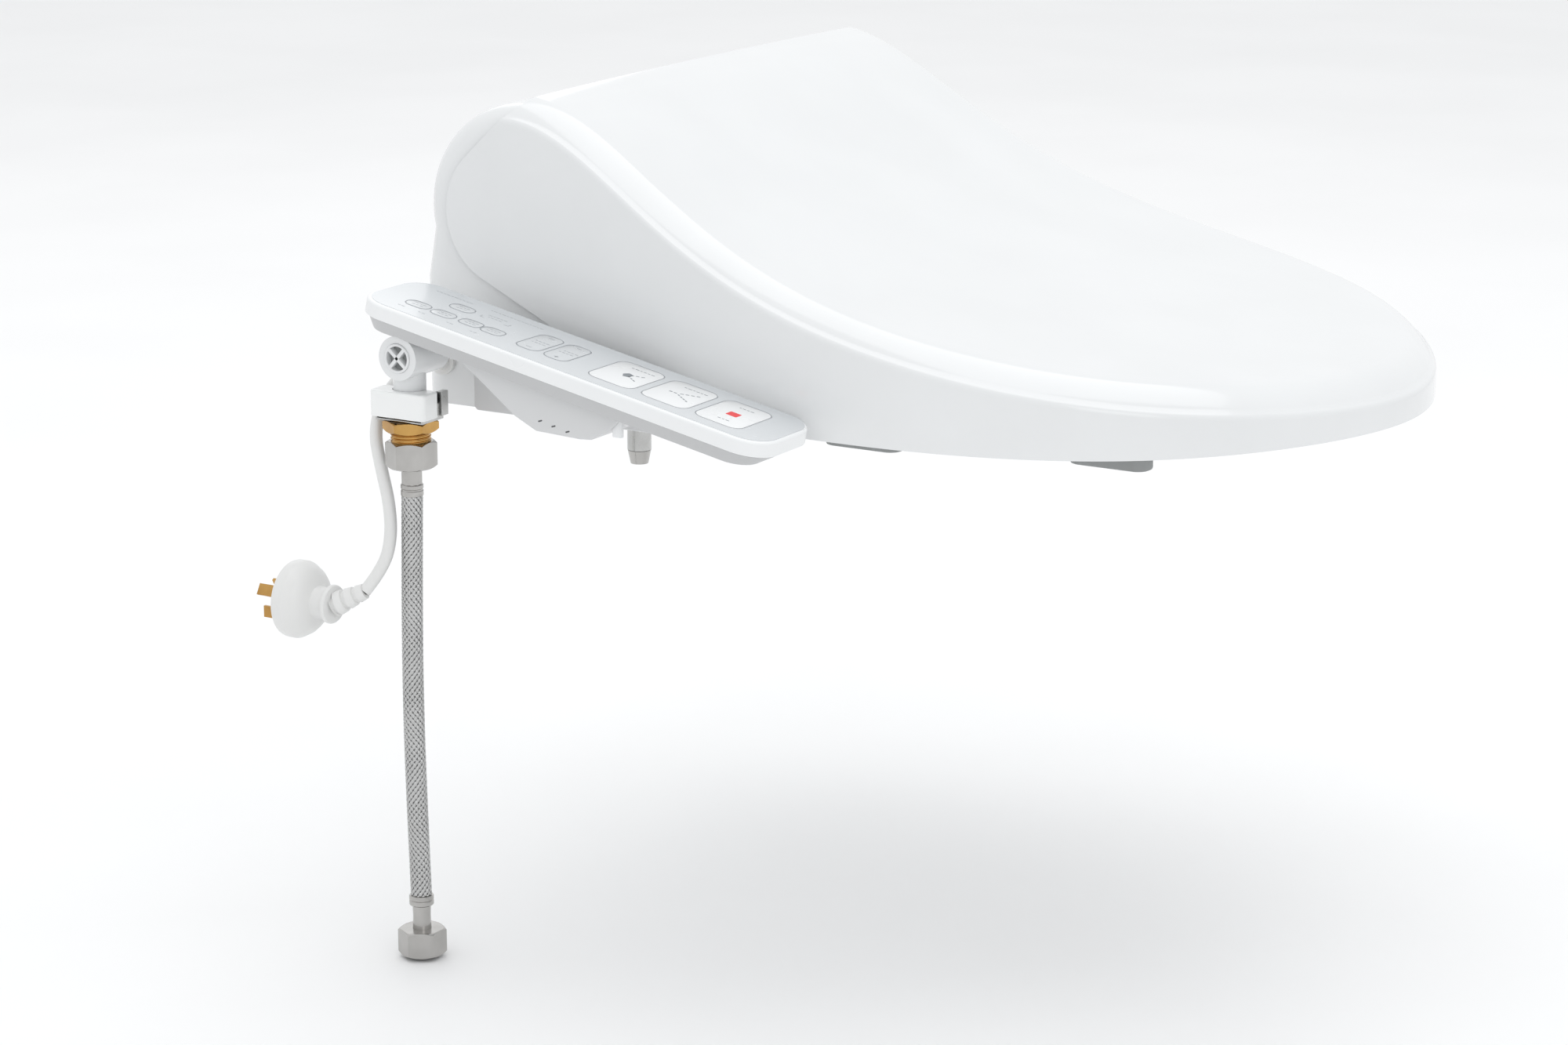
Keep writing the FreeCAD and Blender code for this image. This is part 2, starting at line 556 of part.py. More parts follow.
def cord_tube(name, points, r):
    wire, radii = route_wire(points)
    first = V(*points[1]) - V(*points[0])
    ring = Part.Wire([Part.Circle(V(*points[0]), first, r).toShape()])
    shell = wire.makePipeShell([ring], True, False)
    solid = shell if shell.Volume > 0 else shell.reversed()
    ratio = solid.Volume / (math.pi * r * r * wire.Length)
    print(f"{name}: length {wire.Length:.1f}, radii {[round(x) for x in radii]}, volume ratio {ratio:.4f}")
    return solid


def cone_between(p, q, r0, r1):
    p, q = V(*p), V(*q)
    return Part.makeCone(r0, r1, (q - p).Length, p, q - p)


# ---------------------------------------------------------------- build: shells
low, high = make_case()
tray = make_tray(low)
lid = make_lid()
seat_top, seat_bottom, seat_foil = make_seat()
save("lid", lid)
save("base_tray", tray)
save("rear_casing", high)
save("seat_upper_shell", seat_top)
save("seat_lower_shell", seat_bottom)
save("seat_heating_foil", seat_foil)
seat_pads = [rounded_block(x - 8, x + 8, y - 22, y + 22, 0.0, SEAT_BOTTOM, 7.0)
             for x, y in ((-158, -190), (158, -190), (-132, -318), (132, -318))]
save("seat_bumpers", Part.Compound(seat_pads))


def pad_under_lid(x, y):
    """A rubber stop between the seat's top and the lid's inside."""
    return cyl(x, y, seat_height(y) + 0.4, 6.0, 60).common(below_top(LID_WALL + 0.85))


save("lid_bumpers", Part.Compound([s for x in (-110, 110) for s in pad_under_lid(x, -290).Solids]))

# hinge pins run through the cheeks and the seat's arms into the lid's bosses
hinge_pin = cyl(CHEEK_X + 0.5, HINGE_Y, HINGE_Z, PIN_R, CASE_HALF - CHEEK_X - 0.7, X_AXIS)
save("hinge_pins", both_sides(hinge_pin))
damper = tube(CHEEK_X - 52, HINGE_Y, HINGE_Z, 11.0, 3.0, 51.5, X_AXIS)
save("soft_close_dampers", both_sides(damper))

# ---------------------------------------------------------------- build: mounting
plate = rounded_block(-PLATE_X / 2, PLATE_X / 2, -PLATE_Y / 2, PLATE_Y / 2, 0.0, PLATE_Z, 6.0)
washers, bolts, nuts = [], [], []
for side in (-1, 1):
    bx = side * BOLT_SPACING / 2
    slot = fuse(box(bx - SLOT_REACH, bx + SLOT_REACH, -SLOT_R, SLOT_R, -1, 6),
                cyl(bx - SLOT_REACH, 0, -1, SLOT_R, 7), cyl(bx + SLOT_REACH, 0, -1, SLOT_R, 7))
    plate = plate.cut(slot)
    washer = rounded_block(bx - 11, bx + 11, -10, 10, PLATE_Z, PLATE_Z + 2, 3.0)
    washers.append(washer.cut(cyl(bx, 0, 0, 4.2, 9)))
    head = cyl(bx, 0, PLATE_Z + 2, 8.0, 4.2).cut(box(bx - 7, bx + 7, -0.9, 0.9, PLATE_Z + 4.6, PLATE_Z + 8))
    shank = cyl(bx, 0, -SLEEVE_LEN - 8.0, 4.0, PLATE_Z + SLEEVE_LEN + 10.1)
    bolts.append(fuse(head, shank, cyl(bx, 0, -SLEEVE_LEN, SLEEVE_R, SLEEVE_LEN)))
    nut = Part.makeCone(5.0, 6.6, 7.6, V(bx, 0, -SLEEVE_LEN - 7.9))
    nuts.append(nut.cut(cyl(bx, 0, -SLEEVE_LEN - 9, 4.05, 12)))
save("mounting_plate", plate)
save("bolt_washers", Part.Compound(washers))
save("bowl_bolts", Part.Compound(bolts))
save("expansion_nuts", Part.Compound(nuts))

# ---------------------------------------------------------------- build: nozzles
motors = []
for label, x in (("feminine", -NOZZLE_X), ("posterior", NOZZLE_X)):
    pinion, motor = make_drive(x)
    motors.append(motor)
    save(f"nozzle_{label}", make_nozzle(x))
    save(f"pinion_{label}", pinion)
save("nozzle_motors", Part.Compound(motors))
save("nozzle_cradle", make_cradle())
guard_side = [(CASE_FRONT, -17), (CASE_FRONT + 5, -20), (-58, -20), (-52, -0.2), (CASE_FRONT, -0.2)]
guard_way = [(CASE_FRONT - 1, -15), (-60, -15), (-54, 1), (CASE_FRONT - 1, 1)]
save("nozzle_guard", side_prism(guard_side, -27, 27).cut(side_prism(guard_way, -23, 23)))

# ---------------------------------------------------------------- build: water path
tank = rounded_block(-138, -62, -14, 50, 18, 88, 10.0, 6.0)
tank = fuse(tank, cyl(-120, 34, 86, 4.5, 12), cyl(-80, 34, 86, 4.5, 12))
save("heater_tank", tank)
valve = fuse(rounded_block(-146, -122, 52, 68, 26, 52, 3.0), cyl(-134, 60, 51, 8.5, 22))
save("solenoid_valve", valve)
flow = fuse(rounded_block(-52, -30, -8, 14, 92, 116, 3.0), cyl(-41, 3, 115, 7.0, 14))
save("flow_divider_valve", flow)

# ---------------------------------------------------------------- build: dryer, deodoriser, electronics
fx, fy, fz = FAN
fan_case = fuse(tube(fx - 16, fy, fz, 33.0, 30.5, 32, X_AXIS),
                cyl(fx + 14, fy, fz, 33.0, 2, X_AXIS),
                tube(fx - 16, fy, fz, 33.0, 18.0, 2, X_AXIS))
fan_case = fan_case.cut(cyl(fx + 10, fy, fz, 3.0 + RUN_GAP, 10, X_AXIS))
fan_case = fan_case.cut(box(fx - 13, fx + 13, fy - 40, fy - 24, fz - 12, fz + 8))
save("dryer_fan_case", fan_case)
wheel = fuse(cyl(fx - 10, fy, fz, 27.0, 1.5, X_AXIS),
             cyl(fx - 10, fy, fz, 3.0, 30, X_AXIS),
             cyl(fx - 10, fy, fz, 8.0, 12, X_AXIS))
for k in range(FAN_BLADES):
    blade = box(fx - 9, fx + 9, fy + 14, fy + 26.5, fz - 0.6, fz + 0.6)
    blade.rotate(V(*FAN), X_AXIS, 360 / FAN_BLADES * k)
    wheel = fuse(wheel, blade)
save("dryer_impeller", wheel)
duct_side = [(-25.5, 44), (-25.5, 62), (-50, 44), (-84.5, 19), (-84.5, 7), (-56, 16)]
duct_way = [(-25, 46.5), (-25, 59.5), (-49, 41.6), (-86, 17), (-86, 9.2), (-55.5, 18.2)]
duct = side_prism(duct_side, fx - 14, fx + 2).cut(side_prism(duct_way, fx - 12, fx))
air_heater = box(fx - 12.5, fx + 0.5, -42, -40, 32, 38)
save("dryer_duct", fuse(duct, air_heater))
filter_case = rounded_block(112, 142, -60, -20, 6, 36, 4.0)
for k in range(5):
    filter_case = filter_case.cut(box(116, 138, -56 + 7 * k, -52 + 7 * k, 10, 40))
save("deodoriser_cartridge", filter_case)
board = box(-50, 50, BOARD_Y, BOARD_Y + 1.6, 52, 112)
for x, z, w, h, depth in ((-34, 70, 18, 24, 12), (-6, 66, 26, 18, 9), (28, 84, 20, 30, 14),
                          (30, 60, 12, 10, 8)):
    board = fuse(board, box(x - w / 2, x + w / 2, BOARD_Y - depth, BOARD_Y + 0.01, z, z + h))
save("control_board", board)
save("transformer", fuse(rounded_block(58, 92, 46, 68, 16, 22, 3.0),
                         rounded_block(62, 88, 47, 67, 21.9, 44, 2.0)))

# ---------------------------------------------------------------- build: control panel
panel_upper, panel_lower, panel_board, keys = make_panel()
save("panel_upper_shell", panel_upper)
save("panel_lower_shell", panel_lower)
save("panel_board", panel_board)
for name, shape in keys.items():
    save(name, shape)
save("panel_bracket", make_bracket())

# ---------------------------------------------------------------- build: water connection
ez, ey = ELBOW_Z, PIPE_Y - 1
elbow = fuse(cyl(-252, ey, ez, CAP_R, 31, X_AXIS), cyl(-222, ey, ez, 8.0, 38.5, X_AXIS),
             cyl(PIPE_X, PIPE_Y, 12.2, 8.75, 27), cyl(PIPE_X, PIPE_Y, 9.0, 10.0, 3.3))
elbow = elbow.cut(cyl(-249, ey, ez, 5.0, 70, X_AXIS)).cut(cyl(PIPE_X, PIPE_Y, 8.0, 4.5, 27))
elbow = elbow.cut(cyl(-253, ey, ez, 8.0, 8.0, X_AXIS))
save("inlet_elbow", fuse(elbow, tube(-184.5, ey, ez, 6.0, 4.0, 38, X_AXIS)))
filter_plug = cyl(-252.6, ey, ez, 7.9, 7.4, X_AXIS)
for spin in (45, -45):
    slot = box(-254, -249.6, ey - 6.2, ey + 6.2, ez - 1.1, ez + 1.1)
    slot.rotate(V(-252, ey, ez), X_AXIS, spin)
    filter_plug = filter_plug.cut(slot)
save("filter_plug", fuse(filter_plug, tube(-245.3, ey, ez, 4.2, 3.4, 18, X_AXIS)))

adapter = fuse(cyl(PIPE_X, PIPE_Y, 5.9, 9.4, 3.0), cyl(PIPE_X, PIPE_Y, 4.0, 6.7, 2.0),
               hex_nut(PIPE_X, PIPE_Y, -2.0, 4.3, 26.0), cyl(PIPE_X, PIPE_Y, -19.0, 10.3, 17.5))
for k in range(8):
    crest = -18.2 + THREAD_PITCH * k
    adapter = fuse(adapter, Part.makeCone(10.3, 10.45, 0.4, V(PIPE_X, PIPE_Y, crest - 0.4)),
                   Part.makeCone(10.45, 10.3, 0.4, V(PIPE_X, PIPE_Y, crest)))
adapter = adapter.cut(cyl(PIPE_X, PIPE_Y, -20, 5.0, 30))
save("adapter", adapter)
poppet = fuse(cyl(PIPE_X, PIPE_Y, -2.0, 3.6, 2.0),
              cyl(PIPE_X, PIPE_Y, -10.0, 1.2, 8.1),
              tube(PIPE_X, PIPE_Y, -10.5, 4.98, 3.2, 1.0),
              box(PIPE_X - 4, PIPE_X + 4, PIPE_Y - 0.6, PIPE_Y + 0.6, -10.5, -9.5))
save("check_valve", poppet)

# spring clip that holds the elbow's flange and the adapter's flange together
cy0, cy1 = PIPE_Y - 15.0, PIPE_Y + 15.0
clip = fuse(box(-250.4, -231, cy0, cy1, 12.5, 13.5),
            box(-250.4, -231, cy0, cy1, 4.6, 5.6),
            box(-250.4, -231, cy0, cy0 + 1, 4.6, 13.5),
            box(-250.4, -231, cy1 - 1, cy1, 4.6, 13.5),
            box(-236, -230, cy0 - 2.5, cy0 + 1, 7.0, 20.0))
clip = clip.cut(fuse(cyl(PIPE_X, PIPE_Y, 11, 9.0, 4), box(PIPE_X, -229, PIPE_Y - 9, PIPE_Y + 9, 11, 15)))
clip = clip.cut(fuse(cyl(PIPE_X, PIPE_Y, 4.2, 7.0, 2), box(PIPE_X, -229, PIPE_Y - 7, PIPE_Y + 7, 4.2, 6.2)))
save("quick_clip", clip)
cover = rounded_block(-253.0, -238, PIPE_Y - 17.5, PIPE_Y + 17.5, 6.8, 20.8, 3.0, 1.2)
cover = cover.cut(box(-250.8, -230, PIPE_Y - 15.3, PIPE_Y + 15.3, 0, 18.8))
cover = cover.cut(fuse(cyl(PIPE_X, PIPE_Y, 10, 9.2, 20),
                       box(PIPE_X, -229, PIPE_Y - 9.2, PIPE_Y + 9.2, 10, 30)))
save("clip_cover", cover)


def bored(solid, z0, z1, r):
    """The solid with a hole of radius r about the pipe's axis, from z0 to z1."""
    return solid.cut(cyl(PIPE_X, PIPE_Y, z0, r, z1 - z0))


nut_top = bored(bored(hex_nut(PIPE_X, PIPE_Y, -21.6, -7.2, 24.0), -20.9, -6.0, 10.5), -22.0, -20.0, 5.75)
save("hose_nut_top", nut_top)
nut_bottom = bored(hex_nut(PIPE_X, PIPE_Y, -293.5, -279.0, 23.0), -294.0, -285.6, 9.3)
nut_bottom = bored(bored(nut_bottom, -286.0, -281.6, 8.9), -282.0, -278.0, 5.0 + RUN_GAP)
save("hose_nut_bottom", nut_bottom)
ferrule_top = fuse(tube(PIPE_X, PIPE_Y, -31.0, 5.7, 4.0, 12.0),
                   tube(PIPE_X, PIPE_Y, HOSE_TOP, 6.1, 4.0, 6.2))
ferrule_low = fuse(tube(PIPE_X, PIPE_Y, HOSE_BOTTOM - 5.6, 6.7, 4.0, 5.6),
                   tube(PIPE_X, PIPE_Y, -282.0, 5.0, 4.0, 18.0),
                   tube(PIPE_X, PIPE_Y, -283.5, 8.6, 4.0, 1.6))
save("hose_ferrules", Part.Compound([ferrule_top, ferrule_low]))
hose_washers = [tube(PIPE_X, PIPE_Y, -20.9, 9.6, 5.75, 1.9), tube(PIPE_X, PIPE_Y, -285.6, 8.6, 4.6, 2.0)]
save("hose_washers", Part.Compound(hose_washers))
save("supply_hose", cord_tube("supply_hose", HOSE_ROUTE, HOSE_R))

# ---------------------------------------------------------------- build: power cord and plug
gx, gy, gz = CORD_ROUTE[0]
relief = fuse(cone_between((-CASE_HALF + 9.0, gy, gz), (gx, gy, gz), 6.9, 3.9),
              cyl(-CASE_HALF - 2.2, gy, gz, 8.0, 2.2, X_AXIS), cyl(-CASE_HALF, gy, gz, 3.98, 34, X_AXIS))
save("cord_relief", relief)
save("power_cord", cord_tube("power_cord", CORD_ROUTE, CORD_R))
neck = (-262.0, 75.5, -97.0)
px, py, pz = neck
plug_body = fuse(cyl(px, py, pz, 10.5, 3.0, Y_AXIS),
                 cyl(px, py + 2.9, pz, 9.0, 9.0, Y_AXIS),
                 Part.makeCone(12.0, 20.0, 8.0, V(px, py + 11.5, pz), Y_AXIS),
                 cyl(px, py + 19.4, pz, 21.0, 8.0, Y_AXIS),
                 cone_between(CORD_ROUTE[-1], neck, 4.2, 7.0))
save("plug_body", plug_body)


def slanted_pin(side):
    """A flat live or neutral pin, 6.3 by 1.6 mm, slanted by 30 degrees."""
    pin = box(px - 0.8, px + 0.8, py + 27.4, py + 45.0, pz - 3.15, pz + 3.15)
    pin.rotate(V(px, py, pz), Y_AXIS, -side * 30)
    pin.translate(V(side * 6.9, 0, 4.0))
    return pin


earth = box(px - 0.8, px + 0.8, py + 27.4, py + 47.0, pz - 13.2, pz - 6.9)
save("plug_pins", Part.Compound([slanted_pin(-1), slanted_pin(1), earth]))
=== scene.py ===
"""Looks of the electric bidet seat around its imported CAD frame.

The scene is in metres. Tables of points and the lid's formulas are in mm, and MM scales them.
"""
import itertools
import json
import math

import bmesh
import bpy
import numpy as np
from mathutils import Matrix, Vector


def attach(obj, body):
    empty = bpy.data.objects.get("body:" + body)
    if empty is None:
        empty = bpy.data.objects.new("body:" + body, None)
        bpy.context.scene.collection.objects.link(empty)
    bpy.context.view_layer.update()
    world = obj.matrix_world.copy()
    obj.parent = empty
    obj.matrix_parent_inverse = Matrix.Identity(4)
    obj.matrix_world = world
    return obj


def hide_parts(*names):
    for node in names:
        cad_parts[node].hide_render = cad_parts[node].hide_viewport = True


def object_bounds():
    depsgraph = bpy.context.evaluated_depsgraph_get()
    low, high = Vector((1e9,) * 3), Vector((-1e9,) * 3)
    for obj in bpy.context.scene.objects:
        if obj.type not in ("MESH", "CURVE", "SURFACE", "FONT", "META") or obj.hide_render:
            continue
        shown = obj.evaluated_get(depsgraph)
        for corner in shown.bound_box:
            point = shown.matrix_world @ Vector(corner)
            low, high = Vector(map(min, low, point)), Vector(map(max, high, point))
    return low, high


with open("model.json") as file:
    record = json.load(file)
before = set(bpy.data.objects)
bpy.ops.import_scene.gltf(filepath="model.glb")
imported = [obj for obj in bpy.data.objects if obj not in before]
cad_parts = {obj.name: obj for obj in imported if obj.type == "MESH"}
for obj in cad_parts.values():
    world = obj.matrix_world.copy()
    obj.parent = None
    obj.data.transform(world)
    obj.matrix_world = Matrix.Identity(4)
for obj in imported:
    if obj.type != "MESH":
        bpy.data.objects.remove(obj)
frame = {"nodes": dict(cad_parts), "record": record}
cad_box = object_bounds()

MM = 0.001
HINGE = Vector((0, 12, 107)) * MM
PIPE = Vector((-240, 39, 0)) * MM
CAP_CENTRE = Vector((-252, 38, 39)) * MM
PANEL_CENTRE = Vector((-233, -66.09, 46.12)) * MM
PANEL_TILT = math.radians(11.9)
ON_PANEL = Matrix.Translation(PANEL_CENTRE) @ Matrix.Rotation(PANEL_TILT, 4, "X")
ABOUT_Y = Matrix.Rotation(-math.pi / 2, 4, "X")    # turns a lathe's +Z axis to +Y
ABOUT_X = Matrix.Rotation(math.pi / 2, 4, "Y")     # turns a lathe's +Z axis to +X


# ---------------------------------------------------------------- camera
FOCAL_LENGTH, SENSOR_WIDTH = 93.6, 36.0            # in mm, as Blender wants them
CAMERA_PLACE = (-1.9456, -1.1939, 0.4782)
CAMERA_RIGHT = (0.5075, -0.8616, 0.0)
CAMERA_UP = (0.2114, 0.1245, 0.9694)
CAMERA_BACK = (-0.8353, -0.4920, 0.2453)


def make_camera():
    """The photograph's camera, fitted to parts of known size and to the lid's outline."""
    data = bpy.data.cameras.new("camera")
    data.lens = FOCAL_LENGTH
    data.sensor_width = SENSOR_WIDTH
    data.clip_end = 50.0
    camera = bpy.data.objects.new("camera", data)
    turn = Matrix((CAMERA_RIGHT, CAMERA_UP, CAMERA_BACK)).transposed().to_4x4()
    camera.matrix_world = Matrix.Translation(CAMERA_PLACE) @ turn
    bpy.context.scene.collection.objects.link(camera)
    bpy.context.scene.camera = camera


make_camera()


# ---------------------------------------------------------------- materials
class Nodes:
    """A material's node tree with short calls for what the finishes share."""

    def __init__(self, name):
        self.material = bpy.data.materials.new(name)
        self.material.use_nodes = True
        self.tree = self.material.node_tree
        self.shader = self.tree.nodes["Principled BSDF"]
        self.place = self.new("ShaderNodeTexCoord").outputs["Object"]

    def new(self, kind, **values):
        node = self.tree.nodes.new(kind)
        for key, value in values.items():
            setattr(node, key, value)
        return node

    def link(self, a, b):
        self.tree.links.new(a, b)

    def noise(self, scale, detail=3.0, stretch=(1, 1, 1)):
        mapping = self.new("ShaderNodeMapping")
        mapping.inputs["Scale"].default_value = stretch
        self.link(self.place, mapping.inputs["Vector"])
        noise = self.new("ShaderNodeTexNoise")
        noise.inputs["Scale"].default_value = scale
        noise.inputs["Detail"].default_value = detail
        self.link(mapping.outputs["Vector"], noise.inputs["Vector"])
        return noise.outputs["Fac"]

    def blend(self, factor, colour_a, colour_b, low=0.35, high=0.65):
        ramp = self.new("ShaderNodeValToRGB")
        ramp.color_ramp.elements[0].position = low
        ramp.color_ramp.elements[1].position = high
        ramp.color_ramp.elements[0].color = (*colour_a, 1)
        ramp.color_ramp.elements[1].color = (*colour_b, 1)
        self.link(factor, ramp.inputs["Fac"])
        return ramp.outputs["Color"]

    def spread(self, factor, low, high):
        span = self.new("ShaderNodeMapRange")
        span.inputs["To Min"].default_value = low
        span.inputs["To Max"].default_value = high
        self.link(factor, span.inputs["Value"])
        return span.outputs["Result"]

    def bump(self, height, strength, distance):
        bump = self.new("ShaderNodeBump")
        bump.inputs["Strength"].default_value = strength
        bump.inputs["Distance"].default_value = distance
        self.link(height, bump.inputs["Height"])
        self.link(bump.outputs["Normal"], self.shader.inputs["Normal"])

    def colour(self, output):
        self.link(output, self.shader.inputs["Base Color"])

    def roughness(self, output):
        self.link(output, self.shader.inputs["Roughness"])


def plastic(name, colour, roughness, grain=0.00002, grain_scale=900.0, coat=0.0, subsurface=0.0):
    """Moulded plastic: faint uneven colour, uneven gloss and a fine moulded skin."""
    n = Nodes(name)
    darker = tuple(c * 0.975 for c in colour)
    n.colour(n.blend(n.noise(14.0), darker, colour))
    n.roughness(n.spread(n.noise(35.0), roughness * 0.85, roughness * 1.2))
    n.bump(n.noise(grain_scale, 2.0), 0.25, grain)
    n.shader.inputs["Coat Weight"].default_value = coat
    n.shader.inputs["Coat Roughness"].default_value = 0.06
    n.shader.inputs["IOR"].default_value = 1.5
    n.shader.inputs["Subsurface Weight"].default_value = subsurface
    n.shader.inputs["Subsurface Radius"].default_value = (0.004, 0.004, 0.004)
    return n.material


def metal(name, colour, worn, roughness, stretch=(1, 1, 1), scale=300.0, depth=0.00003):
    """Metal with a brushed or turned surface, and patches that have dulled."""
    n = Nodes(name)
    n.colour(n.blend(n.noise(70.0, 5.0), worn, colour, 0.3, 0.7))
    n.roughness(n.spread(n.noise(160.0, 4.0), roughness * 0.7, roughness * 1.4))
    n.bump(n.noise(scale, 3.0, stretch), 0.35, depth)
    n.shader.inputs["Metallic"].default_value = 1.0
    return n.material


FILM_OUTER_REACH, FILM_INNER_REACH = 0.030, 0.029  # how far the film's shading runs from its middle


def panel_film():
    """The panel's printed film: pale blue-grey by the lid, nearly white by the outer band."""
    n = Nodes("panel_film")
    split = n.new("ShaderNodeSeparateXYZ")
    n.link(n.place, split.inputs["Vector"])
    across = n.new("ShaderNodeMapRange")
    across.inputs["From Min"].default_value = PANEL_CENTRE.x - FILM_OUTER_REACH
    across.inputs["From Max"].default_value = PANEL_CENTRE.x + FILM_INNER_REACH
    n.link(split.outputs["X"], across.inputs["Value"])
    n.colour(n.blend(across.outputs["Result"], (0.68, 0.70, 0.715), (0.57, 0.595, 0.615), 0.0, 1.0))
    n.roughness(n.spread(n.noise(120.0), 0.20, 0.30))
    n.bump(n.noise(1500.0, 2.0), 0.15, 0.00001)
    n.shader.inputs["Coat Weight"].default_value = 0.3
    return n.material


def circuit():
    """Green board with fine tracks."""
    n = Nodes("circuit")
    tracks = n.new("ShaderNodeTexBrick")
    tracks.inputs["Scale"].default_value = 180.0
    tracks.inputs["Mortar Size"].default_value = 0.012
    tracks.inputs["Color1"].default_value = (0.02, 0.16, 0.06, 1)
    tracks.inputs["Color2"].default_value = (0.02, 0.20, 0.08, 1)
    tracks.inputs["Mortar"].default_value = (0.18, 0.30, 0.12, 1)
    n.link(n.place, tracks.inputs["Vector"])
    n.colour(tracks.outputs["Color"])
    n.roughness(n.spread(n.noise(200.0), 0.3, 0.45))
    n.bump(tracks.outputs["Fac"], 0.3, 0.00004)
    return n.material


WHITE = (0.765, 0.775, 0.78)
MATERIALS = {
    "lid": plastic("lid_gloss_white", WHITE, 0.16, 0.000012, 700.0, coat=0.6),
    "white_plastic": plastic("gloss_white", WHITE, 0.22, 0.000015, 800.0, coat=0.35),
    "band_plastic": plastic("band_white", (0.84, 0.85, 0.855), 0.28, 0.000015, 800.0, coat=0.2),
    "grey_white_plastic": plastic("satin_grey_white", (0.53, 0.535, 0.54), 0.42, 0.00003, 1100.0),
    "key_plastic": plastic("key_film_white", (0.85, 0.86, 0.865), 0.26, 0.00001, 1500.0, coat=0.3),
    "key_plain": plastic("key_film_grey", (0.64, 0.66, 0.675), 0.26, 0.00001, 1500.0, coat=0.3),
    "print_grey": plastic("print_grey", (0.24, 0.26, 0.28), 0.45, 0.00001, 1500.0),
    "print_pale": plastic("print_pale", (0.36, 0.38, 0.40), 0.45, 0.00001, 1500.0),
    "outline_grey": plastic("outline_grey", (0.27, 0.29, 0.31), 0.45, 0.00001, 1500.0),
    # painted shadow: a dark grey for the gap under the panel's band and for the bracket's slots
    "painted_shadow_grey": plastic("painted_shadow_grey", (0.10, 0.10, 0.105), 0.6, 0.00001, 1500.0),
    "bracket_plastic": plastic("satin_bracket", (0.66, 0.665, 0.67), 0.42, 0.00003, 1100.0),
    "print_red": plastic("print_red", (0.80, 0.045, 0.05), 0.40, 0.00001, 1500.0),
    "clear_white": plastic("milky_gloss", (0.86, 0.87, 0.865), 0.12, 0.00002, 300.0, coat=0.7,
                           subsurface=0.15),
    "dark_plastic": plastic("dark_plastic", (0.045, 0.045, 0.05), 0.45, 0.00004, 900.0),
    "black_rubber": plastic("black_rubber", (0.02, 0.02, 0.02), 0.7, 0.00005, 900.0),
    "grey_rubber": plastic("grey_rubber", (0.30, 0.31, 0.31), 0.65, 0.00005, 900.0),
    "white_rubber": plastic("white_rubber", (0.70, 0.71, 0.70), 0.6, 0.00005, 900.0),
    "cord": plastic("white_pvc", (0.76, 0.76, 0.75), 0.36, 0.00004, 600.0, coat=0.1, subsurface=0.05),
    "steel": metal("brushed_steel", (0.55, 0.55, 0.54), (0.46, 0.46, 0.45), 0.26, (1, 1, 12), 400.0,
                   0.000005),
    "nickel": metal("satin_nickel", (0.50, 0.49, 0.475), (0.42, 0.41, 0.395), 0.22, (1, 1, 10), 300.0,
                    0.000004),
    "braid": metal("braid_steel", (0.56, 0.56, 0.555), (0.50, 0.50, 0.495), 0.24, (1, 1, 1), 900.0, 0.000002),
    "braid_shadow": metal("braid_shadow", (0.16, 0.16, 0.16), (0.12, 0.12, 0.12), 0.45, (1, 1, 1), 900.0,
                          0.000002),
    "brass": metal("turned_brass", (0.62, 0.37, 0.12), (0.45, 0.25, 0.08), 0.22, (1, 1, 14), 300.0, 0.000005),
    "copper": metal("copper_foil", (0.72, 0.35, 0.18), (0.45, 0.20, 0.10), 0.4, (1, 1, 1), 400.0),
    "panel_film": panel_film(),
    "circuit": circuit(),
}


# ---------------------------------------------------------------- mesh helpers
def finish_piece(obj, body, slot, look, *nodes):
    """Gives a new piece its material, its body and the CAD nodes it stands for; the slot argument is not
    used.
    """
    obj.data.materials.clear()
    obj.data.materials.append(MATERIALS[look])
    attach(obj, body)
    if nodes:
        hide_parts(*nodes)
    return obj


def new_object(name, mesh):
    """A mesh or curve as an object in the scene."""
    obj = bpy.data.objects.new(name, mesh)
    bpy.context.scene.collection.objects.link(obj)
    return obj


def mesh_from(name, points, faces, place=Matrix.Identity(4)):
    """An object from points and faces, with its normals turned outwards."""
    mesh = bpy.data.meshes.new(name)
    mesh.from_pydata([place @ Vector(p) for p in points], [], faces)
    mesh.validate()
    work = bmesh.new()
    work.from_mesh(mesh)
    bmesh.ops.recalc_face_normals(work, faces=work.faces)
    work.to_mesh(mesh)
    work.free()
    return new_object(name, mesh)


def smooth(obj, angle=32.0):
    """Smooth shading with sharp edges kept where faces meet at more than the angle."""
    for polygon in obj.data.polygons:
        polygon.use_smooth = True
    work = bmesh.new()
    work.from_mesh(obj.data)
    limit = math.radians(angle)
    for edge in work.edges:
        edge.smooth = len(edge.link_faces) == 2 and edge.calc_face_angle(0.0) < limit
    work.to_mesh(obj.data)
    work.free()
    return obj


def apply_modifiers(obj):
    """Turns what the modifiers make into the object's own mesh."""
    deps = bpy.context.evaluated_depsgraph_get()
    mesh = bpy.data.meshes.new_from_object(obj.evaluated_get(deps))
    obj.modifiers.clear()
    obj.data = mesh
    return obj


def boolean(obj, other, operation):
    """Cuts or crops the object with another, which is used up."""
    cut = obj.modifiers.new("cut", "BOOLEAN")
    cut.object = other
    cut.operation = operation
    cut.solver = "EXACT"
    apply_modifiers(obj)
    bpy.data.objects.remove(other)
    return obj


def bevel(obj, width, segments=3, angle=35.0):
    """Rounds the edges that are sharper than the angle."""
    edge = obj.modifiers.new("bevel", "BEVEL")
    edge.width = width
    edge.segments = segments
    edge.limit_method = "ANGLE"
    edge.angle_limit = math.radians(angle)
    edge.use_clamp_overlap = True
    apply_modifiers(obj)
    return smooth(obj, 40.0)


WELD, FLAT_ANGLE = 0.000004, 0.6                   # m, degrees


